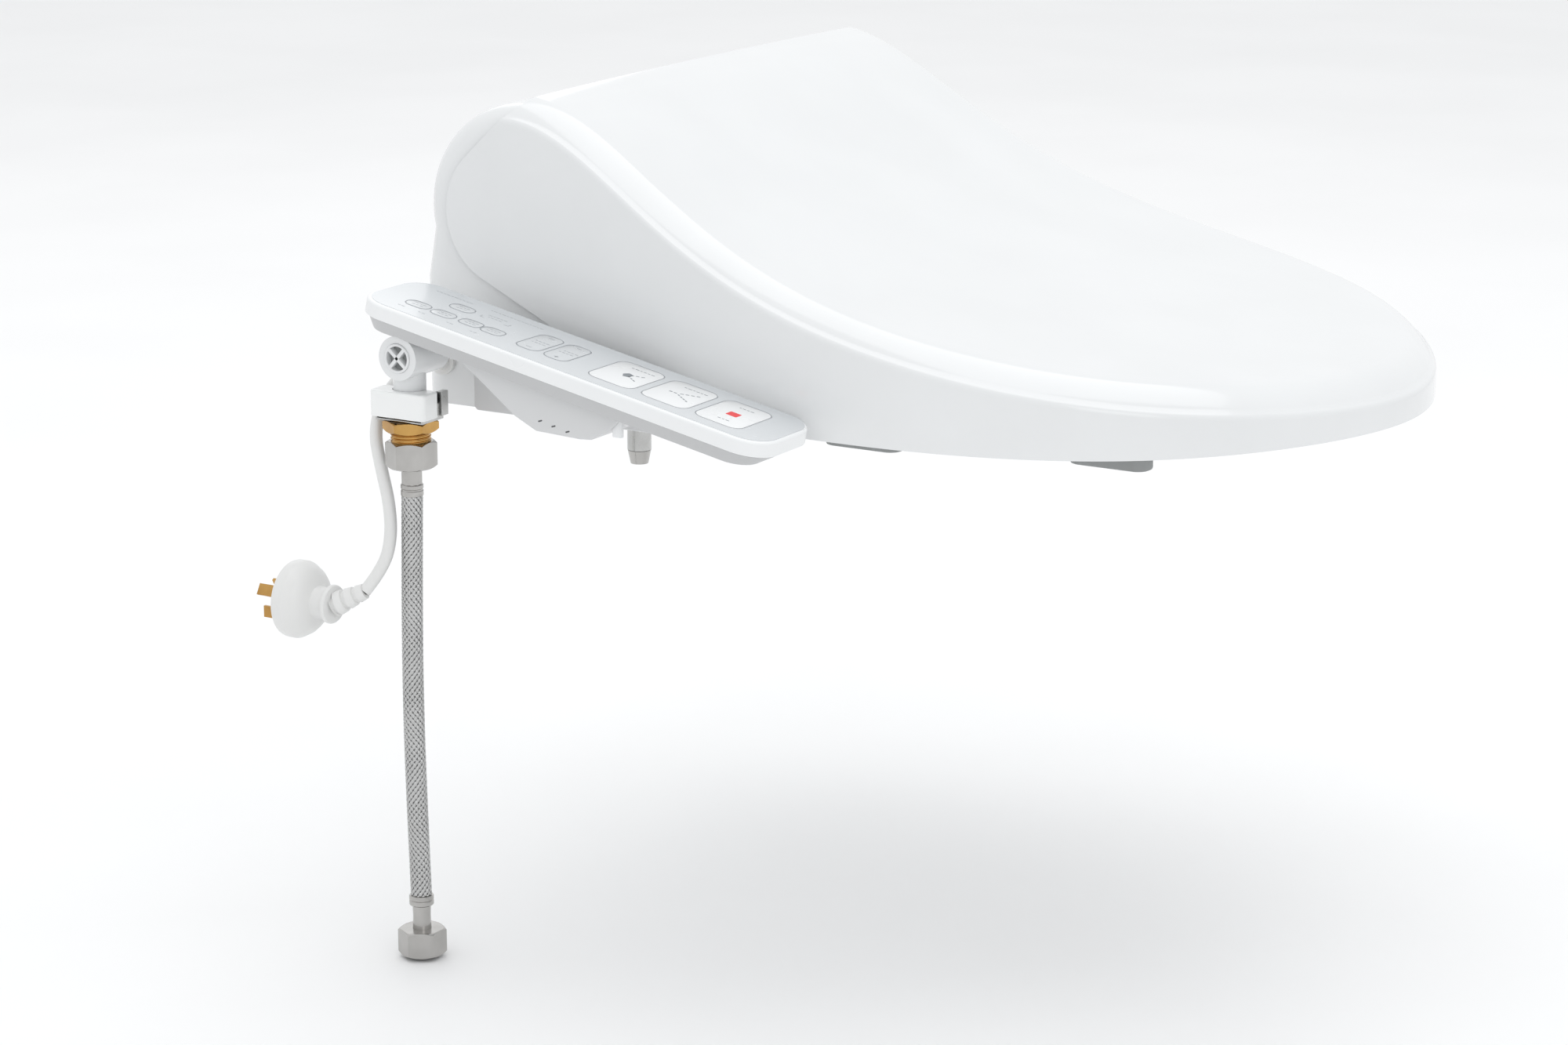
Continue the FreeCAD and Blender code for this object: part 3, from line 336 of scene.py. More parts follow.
def refined(node, look, width=0.0005, body="casing", segments=2):
    """A finer copy of a CAD node: welded, its flats merged, and its edges rounded by width."""
    source = frame["nodes"][node]
    mesh = source.data.copy()
    mesh.name = node + "_fine"
    work = bmesh.new()
    work.from_mesh(mesh)
    bmesh.ops.remove_doubles(work, verts=work.verts, dist=WELD)
    bmesh.ops.dissolve_limit(work, angle_limit=math.radians(FLAT_ANGLE), verts=work.verts, edges=work.edges)
    work.to_mesh(mesh)
    work.free()
    obj = new_object(node + "_fine", mesh)
    bevel(obj, width, segments, 32.0)
    shade = obj.modifiers.new("normals", "WEIGHTED_NORMAL")
    shade.keep_sharp = True
    apply_modifiers(obj)
    record_slot = next(s["material_slot"] for s in frame["record"]["subparts"] if s["node"] == node)
    return finish_piece(obj, body, record_slot, look, node)


def scaled(outline):
    """The same points in metres."""
    return [(x * MM, y * MM) for x, y in outline]


def lathe(name, profile, place, segments=64, closed=True):
    """A turned piece about local Z from (radius, height) points.

    A closed profile joins its last point to its first; an open one starts and ends on the axis.
    """
    points, faces = [], []
    count = len(profile)
    for k in range(segments):
        a = 2 * math.pi * k / segments
        points += [(r * math.cos(a), r * math.sin(a), z) for r, z in profile]
    for k in range(segments):
        a, b = k * count, (k + 1) % segments * count
        for i in range(count if closed else count - 1):
            j = (i + 1) % count
            faces.append((a + i, b + i, b + j, a + j))
    obj = mesh_from(name, points, faces, place)
    work = bmesh.new()
    work.from_mesh(obj.data)
    bmesh.ops.remove_doubles(work, verts=work.verts, dist=1e-6)
    bmesh.ops.recalc_face_normals(work, faces=work.faces)
    work.to_mesh(obj.data)
    work.free()
    return smooth(obj, 35.0)


def rounded_outline(w, length, r, x=0.0, y=0.0, steps=8):
    """Points of a rounded rectangle, counter-clockwise."""
    points = []
    for cx, cy, start in ((1, 1, 0), (-1, 1, 90), (-1, -1, 180), (1, -1, 270)):
        for k in range(steps + 1):
            a = math.radians(start + 90 * k / steps)
            points.append((x + cx * (w / 2 - r) + r * math.cos(a),
                           y + cy * (length / 2 - r) + r * math.sin(a)))
    return points


def slab(name, outline, z0, z1, place=Matrix.Identity(4)):
    """A closed slab between two heights."""
    n = len(outline)
    points = [(x, y, z0) for x, y in outline] + [(x, y, z1) for x, y in outline]
    faces = [tuple(range(n))[::-1], tuple(range(n, 2 * n))]
    faces += [(i, (i + 1) % n, n + (i + 1) % n, n + i) for i in range(n)]
    return mesh_from(name, points, faces, place)


def ring_slab(name, outer, inner, z0, z1, place=Matrix.Identity(4)):
    """A closed ring between two outlines with equal numbers of points."""
    n = len(outer)
    points = [(x, y, z) for outline in (outer, inner) for z in (z0, z1) for x, y in outline]
    faces = []
    for i in range(n):
        j = (i + 1) % n
        faces += [(i, j, n + j, n + i), (2 * n + j, 2 * n + i, 3 * n + i, 3 * n + j),
                  (n + i, n + j, 3 * n + j, 3 * n + i), (j, i, 2 * n + i, 2 * n + j)]
    return mesh_from(name, points, faces, place)


def joined(name, objects):
    """One object made of several, with their materials."""
    mesh = bpy.data.meshes.new(name)
    work = bmesh.new()
    for obj in objects:
        work.from_mesh(obj.data)
    work.to_mesh(mesh)
    work.free()
    for obj in objects:
        bpy.data.objects.remove(obj)
    return new_object(name, mesh)


# ---------------------------------------------------------------- cords
def route_curve(name, points_mm, radius=0.0):
    """An open NURBS spline whose control points are the route's points."""
    data = bpy.data.curves.new(name, "CURVE")
    data.dimensions = "3D"
    spline = data.splines.new("NURBS")
    spline.points.add(len(points_mm) - 1)
    for point, place in zip(spline.points, points_mm):
        point.co = (*(Vector(place) * MM), 1)
    spline.order_u = 3
    spline.use_endpoint_u = True
    spline.resolution_u = 24
    data.bevel_depth = radius
    data.bevel_resolution = 10
    return new_object(name, data)


def centreline(curve):
    """Points along a curve with no bevel, in order."""
    mesh = bpy.data.meshes.new_from_object(curve)
    points = [v.co.copy() for v in mesh.vertices]
    bpy.data.meshes.remove(mesh)
    return points


def even_points(points, count):
    """The same line with evenly spaced points."""
    line = np.array([tuple(p) for p in points])
    run = np.concatenate([[0], np.cumsum(np.linalg.norm(np.diff(line, axis=0), axis=1))])
    at = np.linspace(0, run[-1], count)
    return [Vector(tuple(np.interp(s, run, line[:, i]) for i in range(3))) for s in at], run[-1]


CORD_ROUTE = [(-195, 57.5, 24), (-214.5, 58.3, 24), (-232.5, 60.5, 14), (-242, 61.5, -4), (-242.5, 57, -24),
              (-243.5, 51.5, -42), (-246, 48.8, -60), (-250.5, 51, -76), (-257, 59, -88.5)]
CORD_RADIUS = 3.4 * MM
HOSE_ROUTE = [(-240, 39, -37), (-240.6, 40.2, -92), (-240.8, 40.9, -148.5), (-240.6, 40.2, -205),
              (-240, 39, -260)]
HOSE_RADIUS = 5.8 * MM
HOSE_ROWS, HOSE_AROUND = 700, 144
BRAID_DEPTH = 0.70 * MM
BRAID_LAY = 1.15                                   # one turn of a wire, in hose circumferences
CARRIERS, WIRES = 12, 3                            # bands each way around the hose, wires in a band
SHADOW_BELOW = 0.34                                # faces lower than this in the braid are dark


def make_cord():
    cord = route_curve("mains_cord", CORD_ROUTE, CORD_RADIUS)
    cord.data.use_fill_caps = True
    finish_piece(cord, "casing", "cord", "cord", "power_cord")
    return cord


def braid_height(along, around):
    """Height from 0 to 1 of two families of flat wire bands that pass over and under each other."""
    a = (around + along) * CARRIERS
    b = (around - along) * CARRIERS
    over = (math.floor(a) + math.floor(b)) % 2
    band, cross = (a, b) if over else (b, a)
    inside = band - math.floor(band)
    crest = math.sin(math.pi * (cross - math.floor(cross)))
    edge = min(1.0, 5.0 * min(inside, 1 - inside))
    wire = 0.5 + 0.5 * math.cos(2 * math.pi * inside * WIRES)
    return edge * (0.25 + 0.45 * crest + 0.3 * wire)


def make_hose():
    """Braided hose: a tube mesh along the route whose skin is the woven wire."""
    route = route_curve("hose_route", HOSE_ROUTE)
    line, length = even_points(centreline(route), HOSE_ROWS)
    bpy.data.objects.remove(route)
    pitch = 2 * math.pi * HOSE_RADIUS * BRAID_LAY
    points, lifts = [], []
    for k, centre in enumerate(line):
        ahead = line[min(k + 1, HOSE_ROWS - 1)] - line[max(k - 1, 0)]
        side = ahead.cross(Vector((0, 1, 0))).normalized()
        other = ahead.cross(side).normalized()
        for i in range(HOSE_AROUND):
            turn = i / HOSE_AROUND
            lift = braid_height(length * k / (HOSE_ROWS - 1) / pitch, turn)
            lifts.append(lift)
            r = HOSE_RADIUS - BRAID_DEPTH * (1 - lift)
            a = 2 * math.pi * turn
            points.append(centre + side * r * math.cos(a) + other * r * math.sin(a))
    faces = []
    for k in range(HOSE_ROWS - 1):
        for i in range(HOSE_AROUND):
            j = (i + 1) % HOSE_AROUND
            a, b = k * HOSE_AROUND, (k + 1) * HOSE_AROUND
            faces.append((a + i, a + j, b + j, b + i))
    last_row = range((HOSE_ROWS - 1) * HOSE_AROUND, HOSE_ROWS * HOSE_AROUND)
    faces += [tuple(range(HOSE_AROUND))[::-1], tuple(last_row)]
    hose = mesh_from("braided_hose", points, faces)
    for polygon in hose.data.polygons:
        polygon.use_smooth = True
    finish_piece(hose, "casing", "braid", "braid", "supply_hose")
    hose.data.materials.append(MATERIALS["braid_shadow"])
    for polygon in hose.data.polygons:
        corners = [lifts[i] for i in polygon.vertices]
        polygon.material_index = int(sum(corners) / len(corners) < SHADOW_BELOW)
    return hose, line[::20] + [line[-1]]


mains_cord = make_cord()
braided_hose, hose_line = make_hose()


# ---------------------------------------------------------------- lid
LID_OUTLINE = [(186, 0), (194, -95), (200.5, -195), (192, -272), (162, -340), (88, -403), (0, -427)]


def clamped_spline(points, start, end):
    """A cubic spline through the points with unit tangents at both ends, and its derivative."""
    p = np.array(points, float)
    h = np.linalg.norm(np.diff(p, axis=0), axis=1)
    t = np.concatenate([[0], np.cumsum(h)])
    n = len(p)
    matrix, right = np.zeros((n, n)), np.zeros((n, p.shape[1]))
    matrix[0, 0] = matrix[-1, -1] = 1
    right[0], right[-1] = start, end
    for i in range(1, n - 1):
        matrix[i, i - 1], matrix[i, i], matrix[i, i + 1] = h[i], 2 * (h[i - 1] + h[i]), h[i - 1]
        right[i] = 3 * (h[i] / h[i - 1] * (p[i] - p[i - 1]) + h[i - 1] / h[i] * (p[i + 1] - p[i]))
    slope = np.linalg.solve(matrix, right)

    def at(u):
        i = min(int(np.searchsorted(t, u, side="right")) - 1, n - 2)
        s = (u - t[i]) / h[i]
        place = ((1 + 2 * s) * (1 - s) ** 2 * p[i] + s * (1 - s) ** 2 * h[i] * slope[i]
                 + s * s * (3 - 2 * s) * p[i + 1] - s * s * (1 - s) * h[i] * slope[i + 1])
        way = (6 * s * (s - 1) * (p[i] - p[i + 1]) / h[i] + (1 - s) * (1 - 3 * s) * slope[i]
               + s * (3 * s - 2) * slope[i + 1])
        return place, way / np.linalg.norm(way)

    return at, t[-1]


def ramp(t, width):
    """Zero before t = 0 and a straight line after it, with a soft turn of the given width."""
    return width * math.log1p(math.exp(t / width))


def lid_top(x, y):
    """Height of the lid's crowned top, in mm."""
    middle = 96.4 + 0.142 * y + 1.486 * ramp(y + 48.7, 61.1) - 2.502 * ramp(y - 15.3, 28.6)
    return middle - 3.0 * (x / 200.5) ** 2


def shoulder(inset_end, drop, lip):
    """(inset, drop) points across the lid's shoulder: a tight lip, then a wide soft band."""
    lip_in, lip_drop = 0.12 * inset_end, 0.72 * drop
    fall = drop - lip_drop
    points = [(0.0, drop)]
    for k in range(1, 5):
        s = k / 4
        points.append((lip_in * s * s, drop - fall * s * (2 - s) * lip - fall * s * (1 - lip)))
    knee = (0.5 * inset_end, 0.0)
    for k in range(1, 13):
        s = k / 12
        points.append((lip_in * (1 - s) ** 2 + 2 * s * (1 - s) * knee[0] + s * s * inset_end,
                       lip_drop * (1 - s) ** 2 + 2 * s * (1 - s) * knee[1]))
    return points


def lid_solid(name, inset, drop, y_rear, bottom, profile):
    """Closed body under the lid's top and inside its outline, with a shoulder along the rim."""
    at, whole = clamped_spline(LID_OUTLINE, (0, -1), (-1, 0))
    stations = [((LID_OUTLINE[0][0], y_rear - (y_rear * k / 12)), (0.0, -1.0)) for k in range(12)]
    stations += [at(whole * (1 - (1 - k / 110) ** 1.25)) for k in range(111)]
    across = 36
    right, left, rows = [], [], []
    points, faces = [], []
    for place, way in stations:
        outward = np.array((-way[1], way[0]))
        column_r, column_l = [], []
        for a, d in [(0.0, None)] + profile:
            x, y = np.array(place) - outward * (inset + a)
            z = bottom if d is None else lid_top(x, y) - drop - d
            x = max(x, 0.0)
            column_r.append(len(points))
            points.append((x, y, z))
            column_l.append(len(points))
            points.append((-x, y, z))
        right.append(column_r)
        left.append(column_l)
        x, y = points[column_r[-1]][:2]
        row = [column_l[-1]]
        for k in range(1, across):
            xi = -x + 2 * x * k / across
            row.append(len(points))
            points.append((xi, y, lid_top(xi, y) - drop))
        rows.append(row + [column_r[-1]])
    levels = len(right[0])
    for i in range(len(stations) - 1):
        for k in range(levels - 1):
            faces.append((right[i][k], right[i + 1][k], right[i + 1][k + 1], right[i][k + 1]))
            faces.append((left[i][k], left[i][k + 1], left[i + 1][k + 1], left[i + 1][k]))
        for k in range(across):
            faces.append((rows[i][k], rows[i][k + 1], rows[i + 1][k + 1], rows[i + 1][k]))
    faces.append([c for c in right[0]] + rows[0][::-1][1:-1] + left[0][::-1])
    faces.append([c[0] for c in right] + [c[0] for c in left[::-1]])
    obj = mesh_from(name, [Vector(p) * MM for p in points], faces)
    work = bmesh.new()
    work.from_mesh(obj.data)
    bmesh.ops.remove_doubles(work, verts=work.verts, dist=2e-6)
    bmesh.ops.recalc_face_normals(work, faces=work.faces)
    work.to_mesh(obj.data)
    work.free()
    return obj


def lid_side_prism():
    """What the lid keeps in side view: a round ear on the hinge and all in front of it."""
    ear, slope, top = 39.5, math.radians(26.0), math.radians(46.3)
    hy, hz = 12.0, 107.0
    arc = [(hy + ear * math.cos(a), hz + ear * math.sin(a))
           for a in (top + (slope - math.pi / 2 - top) * k / 40 for k in range(41))]
    low = arc[-1]
    front_y, under_z, over_z = -470, -40, 230      # well outside the lid
    outline = arc + [(low[0] - 190 * math.cos(slope), low[1] - 190 * math.sin(slope)),
                     (front_y, under_z), (front_y, over_z),
                     (arc[0][0] - 80 * math.sin(top), arc[0][1] + 80 * math.cos(top))]
    turn = Matrix(((0, 0, 1, 0), (1, 0, 0, 0), (0, 1, 0, 0), (0, 0, 0, 1)))
    return slab("lid_side", scaled(outline), -0.23, 0.23, turn)


LID_REAR, LID_RIM = 66.0, 11.0                     # where the lid's body ends behind, and its lower edge
LID_WALL, LID_TOP_WALL = 2.4, 3.2
OUTER_SHOULDER = shoulder(21.0, 13.5, 0.7)
INNER_SHOULDER = shoulder(15.0, 10.5, 0.4)         # one of 19 by 12.5 met the casing with the lid open
HUB_PROFILE = [(5.08, 178.0), (14.0, 178.0), (14.0, 184.5), (5.08, 184.5)]


def make_lid():
    """One shell, open below and behind, with a hub on each hinge pin."""
    lid = lid_solid("lid_shell", 0.0, 0.0, LID_REAR, LID_RIM, OUTER_SHOULDER)
    inner = lid_solid("lid_inner", LID_WALL, LID_TOP_WALL, 80.0, -20.0, INNER_SHOULDER)
    boolean(lid, inner, "DIFFERENCE")
    boolean(lid, lid_side_prism(), "INTERSECT")
    smooth(lid, 30.0)
    hinge = Matrix.Translation((0, HINGE.y, HINGE.z))
    hubs = [lathe("hub", scaled(HUB_PROFILE), hinge @ axis, 48) for axis in (ABOUT_X.inverted(), ABOUT_X)]
    lid = joined("lid_shell", [lid] + hubs)
    finish_piece(lid, "lid", "lid", "lid", "lid")


make_lid()


# ---------------------------------------------------------------- casing, tray, seat
refined("rear_casing", "white_plastic", 0.0005)
refined("base_tray", "white_plastic", 0.0005)
refined("seat_upper_shell", "white_plastic", 0.0006, "seat")
refined("seat_lower_shell", "white_plastic", 0.0006, "seat")
refined("seat_bumpers", "grey_rubber", 0.0010, "seat")
refined("lid_bumpers", "white_rubber", 0.0008, "lid")
refined("mounting_plate", "white_plastic", 0.0006)
refined("nozzle_guard", "grey_white_plastic", 0.0006)

# ---------------------------------------------------------------- control panel
refined("panel_upper_shell", "band_plastic", 0.0002)
refined("panel_lower_shell", "grey_white_plastic", 0.0008)
refined("panel_bracket", "bracket_plastic", 0.0024, segments=5)

KEYS = {
    "key_dryer": (-9.0, 98.9, 10.0, 15.0, 4.9),
    "key_massage": (7.9, 82.6, 10.0, 15.0, 4.9),
    "key_power_saving": (-9.2, 82.6, 10.0, 15.0, 4.9),
    "key_water_temp": (-7.9, 65.9, 10.0, 13.6, 4.0),
    "key_seat_temp": (-7.9, 51.9, 10.0, 13.6, 4.0),
    "key_nozzle_position": (0.0, 27.6, 30.0, 15.0, 5.5),
    "key_water_strength": (0.0, 10.3, 30.0, 15.0, 5.5),
    "key_feminine": (0.0, -26.5, 38.0, 28.5, 6.5),
    "key_posterior": (0.0, -59.0, 38.0, 28.5, 6.5),
    "key_stop": (0.0, -91.6, 38.0, 28.5, 6.5),
}
BIG_KEYS = ("key_feminine", "key_posterior", "key_stop")
KEY_TOP = 0.34                                     # mm above the panel's face
FILM_TOP = 0.22
KEY_GAP = 0.24                                     # a window is this much wider than its key
INK, INK_SINK = 0.05, 0.02                         # how far a print stands out, and reaches in


def make_film():
    """The printed film on the panel's face, with a window for each key."""
    film = slab("panel_face_film", scaled(rounded_outline(54.2, 248.2, 15.2, 0.6, 0.0, 12)),
                -0.02 * MM, FILM_TOP * MM)
    for x, y, w, length, r in KEYS.values():
        edge = rounded_outline(w + KEY_GAP, length + KEY_GAP, r + KEY_GAP / 2, x, y, 10)
        boolean(film, slab("window", scaled(edge), -1 * MM, 1 * MM), "DIFFERENCE")
    film.data.transform(ON_PANEL)
    smooth(film, 30.0)
    finish_piece(film, "casing", "white_plastic", "panel_film")


def bar(x, y, w, length, z=KEY_TOP, angle=0.0):
    """A small printed mark, w across the panel and length along it."""
    mark = slab("mark", scaled(rounded_outline(w, length, min(w, length) * 0.35, 0, 0, 3)),
                (z - INK_SINK) * MM, (z + INK) * MM)
    turn = Matrix.Rotation(math.radians(angle), 4, "Z")
    mark.data.transform(Matrix.Translation((x * MM, y * MM, 0)) @ turn)
    return mark


def word(x, y, length, height=1.5, z=KEY_TOP):
    """A row of plain dashes that stands for a printed word."""
    marks, run = [], 0.0
    for part in itertools.cycle((2.1, 1.4, 1.9, 1.2, 2.4, 1.5)):
        if run + part > length:
            return marks
        marks.append(bar(x, y - length / 2 + run + part / 2, height * 0.42, part, z))
        run += part + 0.7


def spray(x, y, side, count=4):
    """Dashes that fan out from a point, for a water jet."""
    return [bar(x + side * 1.5 * k, y - 2.4 * k, 0.8, 1.9, KEY_TOP, 32 * side) for k in range(1, count)]


def make_key(name):
    """A key's cap with its stem, the outline on it and its prints."""
    x, y, w, length, r = KEYS[name]
    look = "key_plastic" if name in BIG_KEYS else "key_plain"
    cap = slab(name + "_cap", scaled(rounded_outline(w, length, r, x, y, 10)), -1.8 * MM, KEY_TOP * MM)
    bevel(cap, 0.08 * MM, 2)
    stem = slab("stem", scaled(rounded_outline(4, 4, 1, x, y, 4)), -4.6 * MM, -1.7 * MM)
    cap = joined(name + "_cap", [cap, stem])
    cap.data.transform(ON_PANEL)
    smooth(cap, 35.0)
    finish_piece(cap, name, "key_plastic", look, name)
    rim = ring_slab(name + "_outline", scaled(rounded_outline(w - 0.16, length - 0.16, r - 0.08, x, y, 10)),
                    scaled(rounded_outline(w - 1.0, length - 1.0, r - 0.5, x, y, 10)),
                    (KEY_TOP - 0.1) * MM, (KEY_TOP + INK) * MM, ON_PANEL)
    finish_piece(rim, name, "key_plastic", "outline_grey")
    marks = key_marks(name, x, y)
    if marks:
        marks = joined(name + "_print", marks)
        marks.data.transform(ON_PANEL)
        finish_piece(marks, name, "key_plastic", "print_pale" if name not in BIG_KEYS else "print_grey")


def key_marks(name, x, y):
    """Plain symbols on a key; words are rows of dashes."""
    if name == "key_feminine":
        outline = [(x - 3.4, y + 0.4), (x - 2.2, y - 2.8), (x + 2.2, y - 2.8), (x + 3.4, y + 0.4),
                   (x, y + 2.2)]
        skirt = slab("skirt", scaled(outline), (KEY_TOP - INK_SINK) * MM, (KEY_TOP + INK) * MM)
        return [skirt] + spray(x, y, -1) + spray(x, y, 1) + word(x + 12, y - 2, 15)
    if name == "key_posterior":
        return [bar(x, y + 2.6, 0.9, 1.9), bar(x, y + 5.4, 0.9, 1.9)] + spray(x, y + 2, -1, 5) + \
            spray(x, y + 2, 1, 5) + word(x + 12, y - 2, 15)
    if name == "key_stop":
        return word(x - 11, y, 8) + word(x + 12, y, 10)
    if name == "key_water_strength":
        return [bar(x - 10.5, y, 0.6, 2.8), bar(x - 10.5, y, 2.8, 0.6), bar(x + 11, y, 0.6, 2.8)] + \
            word(x - 1.6, y, 9) + word(x + 1.6, y, 11)
    if name == "key_nozzle_position":
        return [bar(x - 10.5, y, 0.6, 3.4), bar(x + 11, y, 0.6, 3.4)] + \
            word(x - 1.6, y, 9) + word(x + 1.6, y, 10)
    return word(x - 1.1, y, 7, 1.3) + word(x + 1.4, y, 8, 1.3)


def make_stop_square():
    """The red square on the stop key."""
    x, y = KEYS["key_stop"][:2]
    square = slab("key_stop_square", scaled(rounded_outline(6.0, 6.4, 0.5, x, y, 4)),
                  (KEY_TOP - INK_SINK) * MM, (KEY_TOP + INK) * MM, ON_PANEL)
    finish_piece(square, "key_stop", "key_plastic", "print_red")


def make_face_prints():
    """Marks on the film beside the small keys: lamps, a heading and a bracket over a pair of keys."""
    z = FILM_TOP
    marks = []
    for y in (104.0, 91.0, 73.0, 58.0):
        marks += word(-18.5, y, 6, 1.2, z)
    marks += word(19.5, 96.0, 24, 1.3, z) + word(9.5, 63.0, 9, 1.3, z) + word(12.5, 63.0, 12, 1.3, z)
    marks += word(20.0, 56.0, 34, 1.0, z)
    marks += [bar(8.0, 70.5, 3.0, 0.35, z), bar(8.0, 52.5, 3.0, 0.35, z), bar(6.6, 69.2, 0.35, 2.6, z),
              bar(6.6, 53.8, 0.35, 2.6, z)]
    marks = joined("panel_face_marks", marks)
    marks.data.transform(ON_PANEL)
    finish_piece(marks, "casing", "white_plastic", "print_pale")


def make_join_shadow():
    """Dark ring of painted shadow in the gap where the white band meets the lower shell."""
    join = ring_slab("panel_join_shadow", scaled(rounded_outline(55.6, 249.6, 15.8, 0, 0, 12)),
                     scaled(rounded_outline(53.0, 247.0, 14.5, 0, 0, 12)), -8.45 * MM, -7.98 * MM, ON_PANEL)
    finish_piece(join, "casing", "grey_white_plastic", "painted_shadow_grey")


def make_bracket_details():
    """Three short slots in the bracket's side, drawn as thin dark slabs of painted shade, and a small hook in
    front of them.
    """
    side = Matrix.Translation((-244 * MM, 0, 0)) @ Matrix.Rotation(math.radians(90), 4, "Y")
    slots = []
    for y, z in ((-45.9, 13.7), (-54.1, 11.8), (-62.7, 9.9)):
        slot = slab("slot", scaled(rounded_outline(0.8, 2.6, 0.35, 0, 0, 4)), -0.06 * MM, 0.30 * MM)
        turn = Matrix.Translation((-z * MM, y * MM, 0)) @ Matrix.Rotation(math.radians(-18), 4, "Z")
        slot.data.transform(side @ turn)
        slots.append(slot)
    finish_piece(joined("bracket_slots", slots), "casing", "grey_white_plastic", "painted_shadow_grey")
    hook = slab("bracket_hook", scaled(rounded_outline(3.0, 6.0, 1.2, -240.0, -91.0, 5)), 9.5 * MM, 20.0 * MM)
    finish_piece(bevel(hook, 0.5 * MM, 3), "casing", "grey_white_plastic", "band_plastic")


make_join_shadow()
make_bracket_details()
make_film()
for key in KEYS:
    make_key(key)
make_stop_square()
make_face_prints()


# ---------------------------------------------------------------- water inlet
def make_filter_plug():
    """Round filter plug: a rim, a cross of two bars, grey pockets between them, and the screen behind."""
    place = Matrix.Translation(CAP_CENTRE) @ ABOUT_X
    rim = lathe("rim", scaled([(6.5, -0.6), (7.0, -1.0), (7.6, -0.9), (7.9, -0.5), (7.9, 6.6), (6.5, 6.6)]),
                place)
    floor = lathe("floor", scaled([(0, 3.0), (6.6, 3.0), (6.6, 6.6), (0, 6.6)]), place, 48, False)
    screen = lathe("screen", scaled([(3.4, 6.5), (4.2, 6.5), (4.2, 24.6), (3.4, 24.6)]), place, 40)
    bars = []
    for angle in (42, -48):
        cross = slab("cross", scaled(rounded_outline(1.9, 13.4, 0.3, 0, 0, 3)), -0.7 * MM, 3.2 * MM)
        bevel(cross, 0.15 * MM, 2)
        cross.data.transform(place @ Matrix.Rotation(math.radians(angle), 4, "Z"))
        bars.append(cross)
    plug = joined("filter_plug_face", [rim, screen] + bars)
    finish_piece(smooth(plug, 35.0), "filter_plug", "white_plastic", "white_plastic", "filter_plug")
    finish_piece(floor, "filter_plug", "dark_plastic", "grey_rubber")


def make_thread():
    """Crests of the adapter's pipe thread, as one helix."""
    turns, per_turn, pitch, start = 8.2, 56, 1.81 * MM, -16.9 * MM
    section = [(10.15, -0.75), (10.75, -0.12), (10.75, 0.12), (10.15, 0.75)]
    points, faces = [], []
    steps = int(turns * per_turn)
    for k in range(steps + 1):
        a = 2 * math.pi * k / per_turn
        z = start + pitch * k / per_turn
        for r, dz in section:
            points.append((r * MM * math.cos(a) + PIPE.x, r * MM * math.sin(a) + PIPE.y, z + dz * MM))
    for k in range(steps):
        a, b = 4 * k, 4 * (k + 1)
        faces += [(a + i, a + (i + 1) % 4, b + (i + 1) % 4, b + i) for i in range(4)]
    faces += [(3, 2, 1, 0), (4 * steps, 4 * steps + 1, 4 * steps + 2, 4 * steps + 3)]
    thread = mesh_from("adapter_thread", points, faces)
    finish_piece(smooth(thread, 30.0), "casing", "brass", "brass")


def pipe_lathe(name, profile_mm, body, slot, look, *nodes):
    """A turned piece about the pipe's axis."""
    place = Matrix.Translation((PIPE.x, PIPE.y, 0))
    piece = lathe(name, scaled(profile_mm), place, 72)
    return finish_piece(piece, body, slot, look, *nodes)


def make_ferrules():
    """Crimped sleeves at both ends of the hose; the upper one has flats, the lower one a bead."""
    pipe_lathe("ferrule_upper_ring", [(4.2, -37.0), (5.9, -37.0), (6.1, -36.6), (6.1, -34.3), (5.75, -33.9),
                                      (5.75, -33.3), (6.1, -32.9), (6.1, -31.2), (5.8, -30.8), (4.2, -30.8)],
               "casing", "nickel", "nickel", "hose_ferrules")
    facets, points, faces = 10, [], []
    for z in (-31.0, -19.2):
        for r in (5.7, 4.2):
            points += [(PIPE.x + r * MM * math.cos(2 * math.pi * k / facets),
                        PIPE.y + r * MM * math.sin(2 * math.pi * k / facets), z * MM) for k in range(facets)]
    for k in range(facets):
        j = (k + 1) % facets
        o0, i0, o1, i1 = 0, facets, 2 * facets, 3 * facets
        faces += [(o0 + k, o0 + j, o1 + j, o1 + k), (i0 + j, i0 + k, i1 + k, i1 + j),
                  (o1 + k, o1 + j, i1 + j, i1 + k), (o0 + j, o0 + k, i0 + k, i0 + j)]
    sleeve = mesh_from("ferrule_upper_sleeve", points, faces)
    bevel(sleeve, 0.25 * MM, 2, 20.0)
    finish_piece(sleeve, "casing", "nickel", "nickel")
    pipe_lathe("ferrule_lower", [(4.2, -260.0), (6.3, -260.0), (6.7, -260.5), (6.7, -262.3), (6.3, -262.8),
                                 (6.7, -263.3), (6.7, -265.1), (6.3, -265.6), (5.0, -265.9), (4.8, -272.0),
                                 (5.0, -278.0), (5.0, -281.8), (8.6, -282.0), (8.6, -283.5), (4.2, -283.5)],
               "casing", "nickel", "nickel")


refined("inlet_elbow", "white_plastic", 0.0006)
make_filter_plug()
refined("adapter", "brass", 0.0003)
make_thread()
refined("quick_clip", "steel", 0.0003)
refined("clip_cover", "clear_white", 0.0012, segments=4)
refined("hose_nut_top", "nickel", 0.0004, segments=3)
refined("hose_nut_bottom", "nickel", 0.0004, "hose_nut_bottom", segments=3)
make_ferrules()


# ---------------------------------------------------------------- plug and reliefs
def along(start, end):
    """Matrix that puts a lathe's +Z axis from start towards end."""
    way = end - start
    return Matrix.Translation(start) @ way.to_track_quat("Z", "Y").to_matrix().to_4x4()


RIB_PART = 0.62                                    # how much of each step of a relief is rib


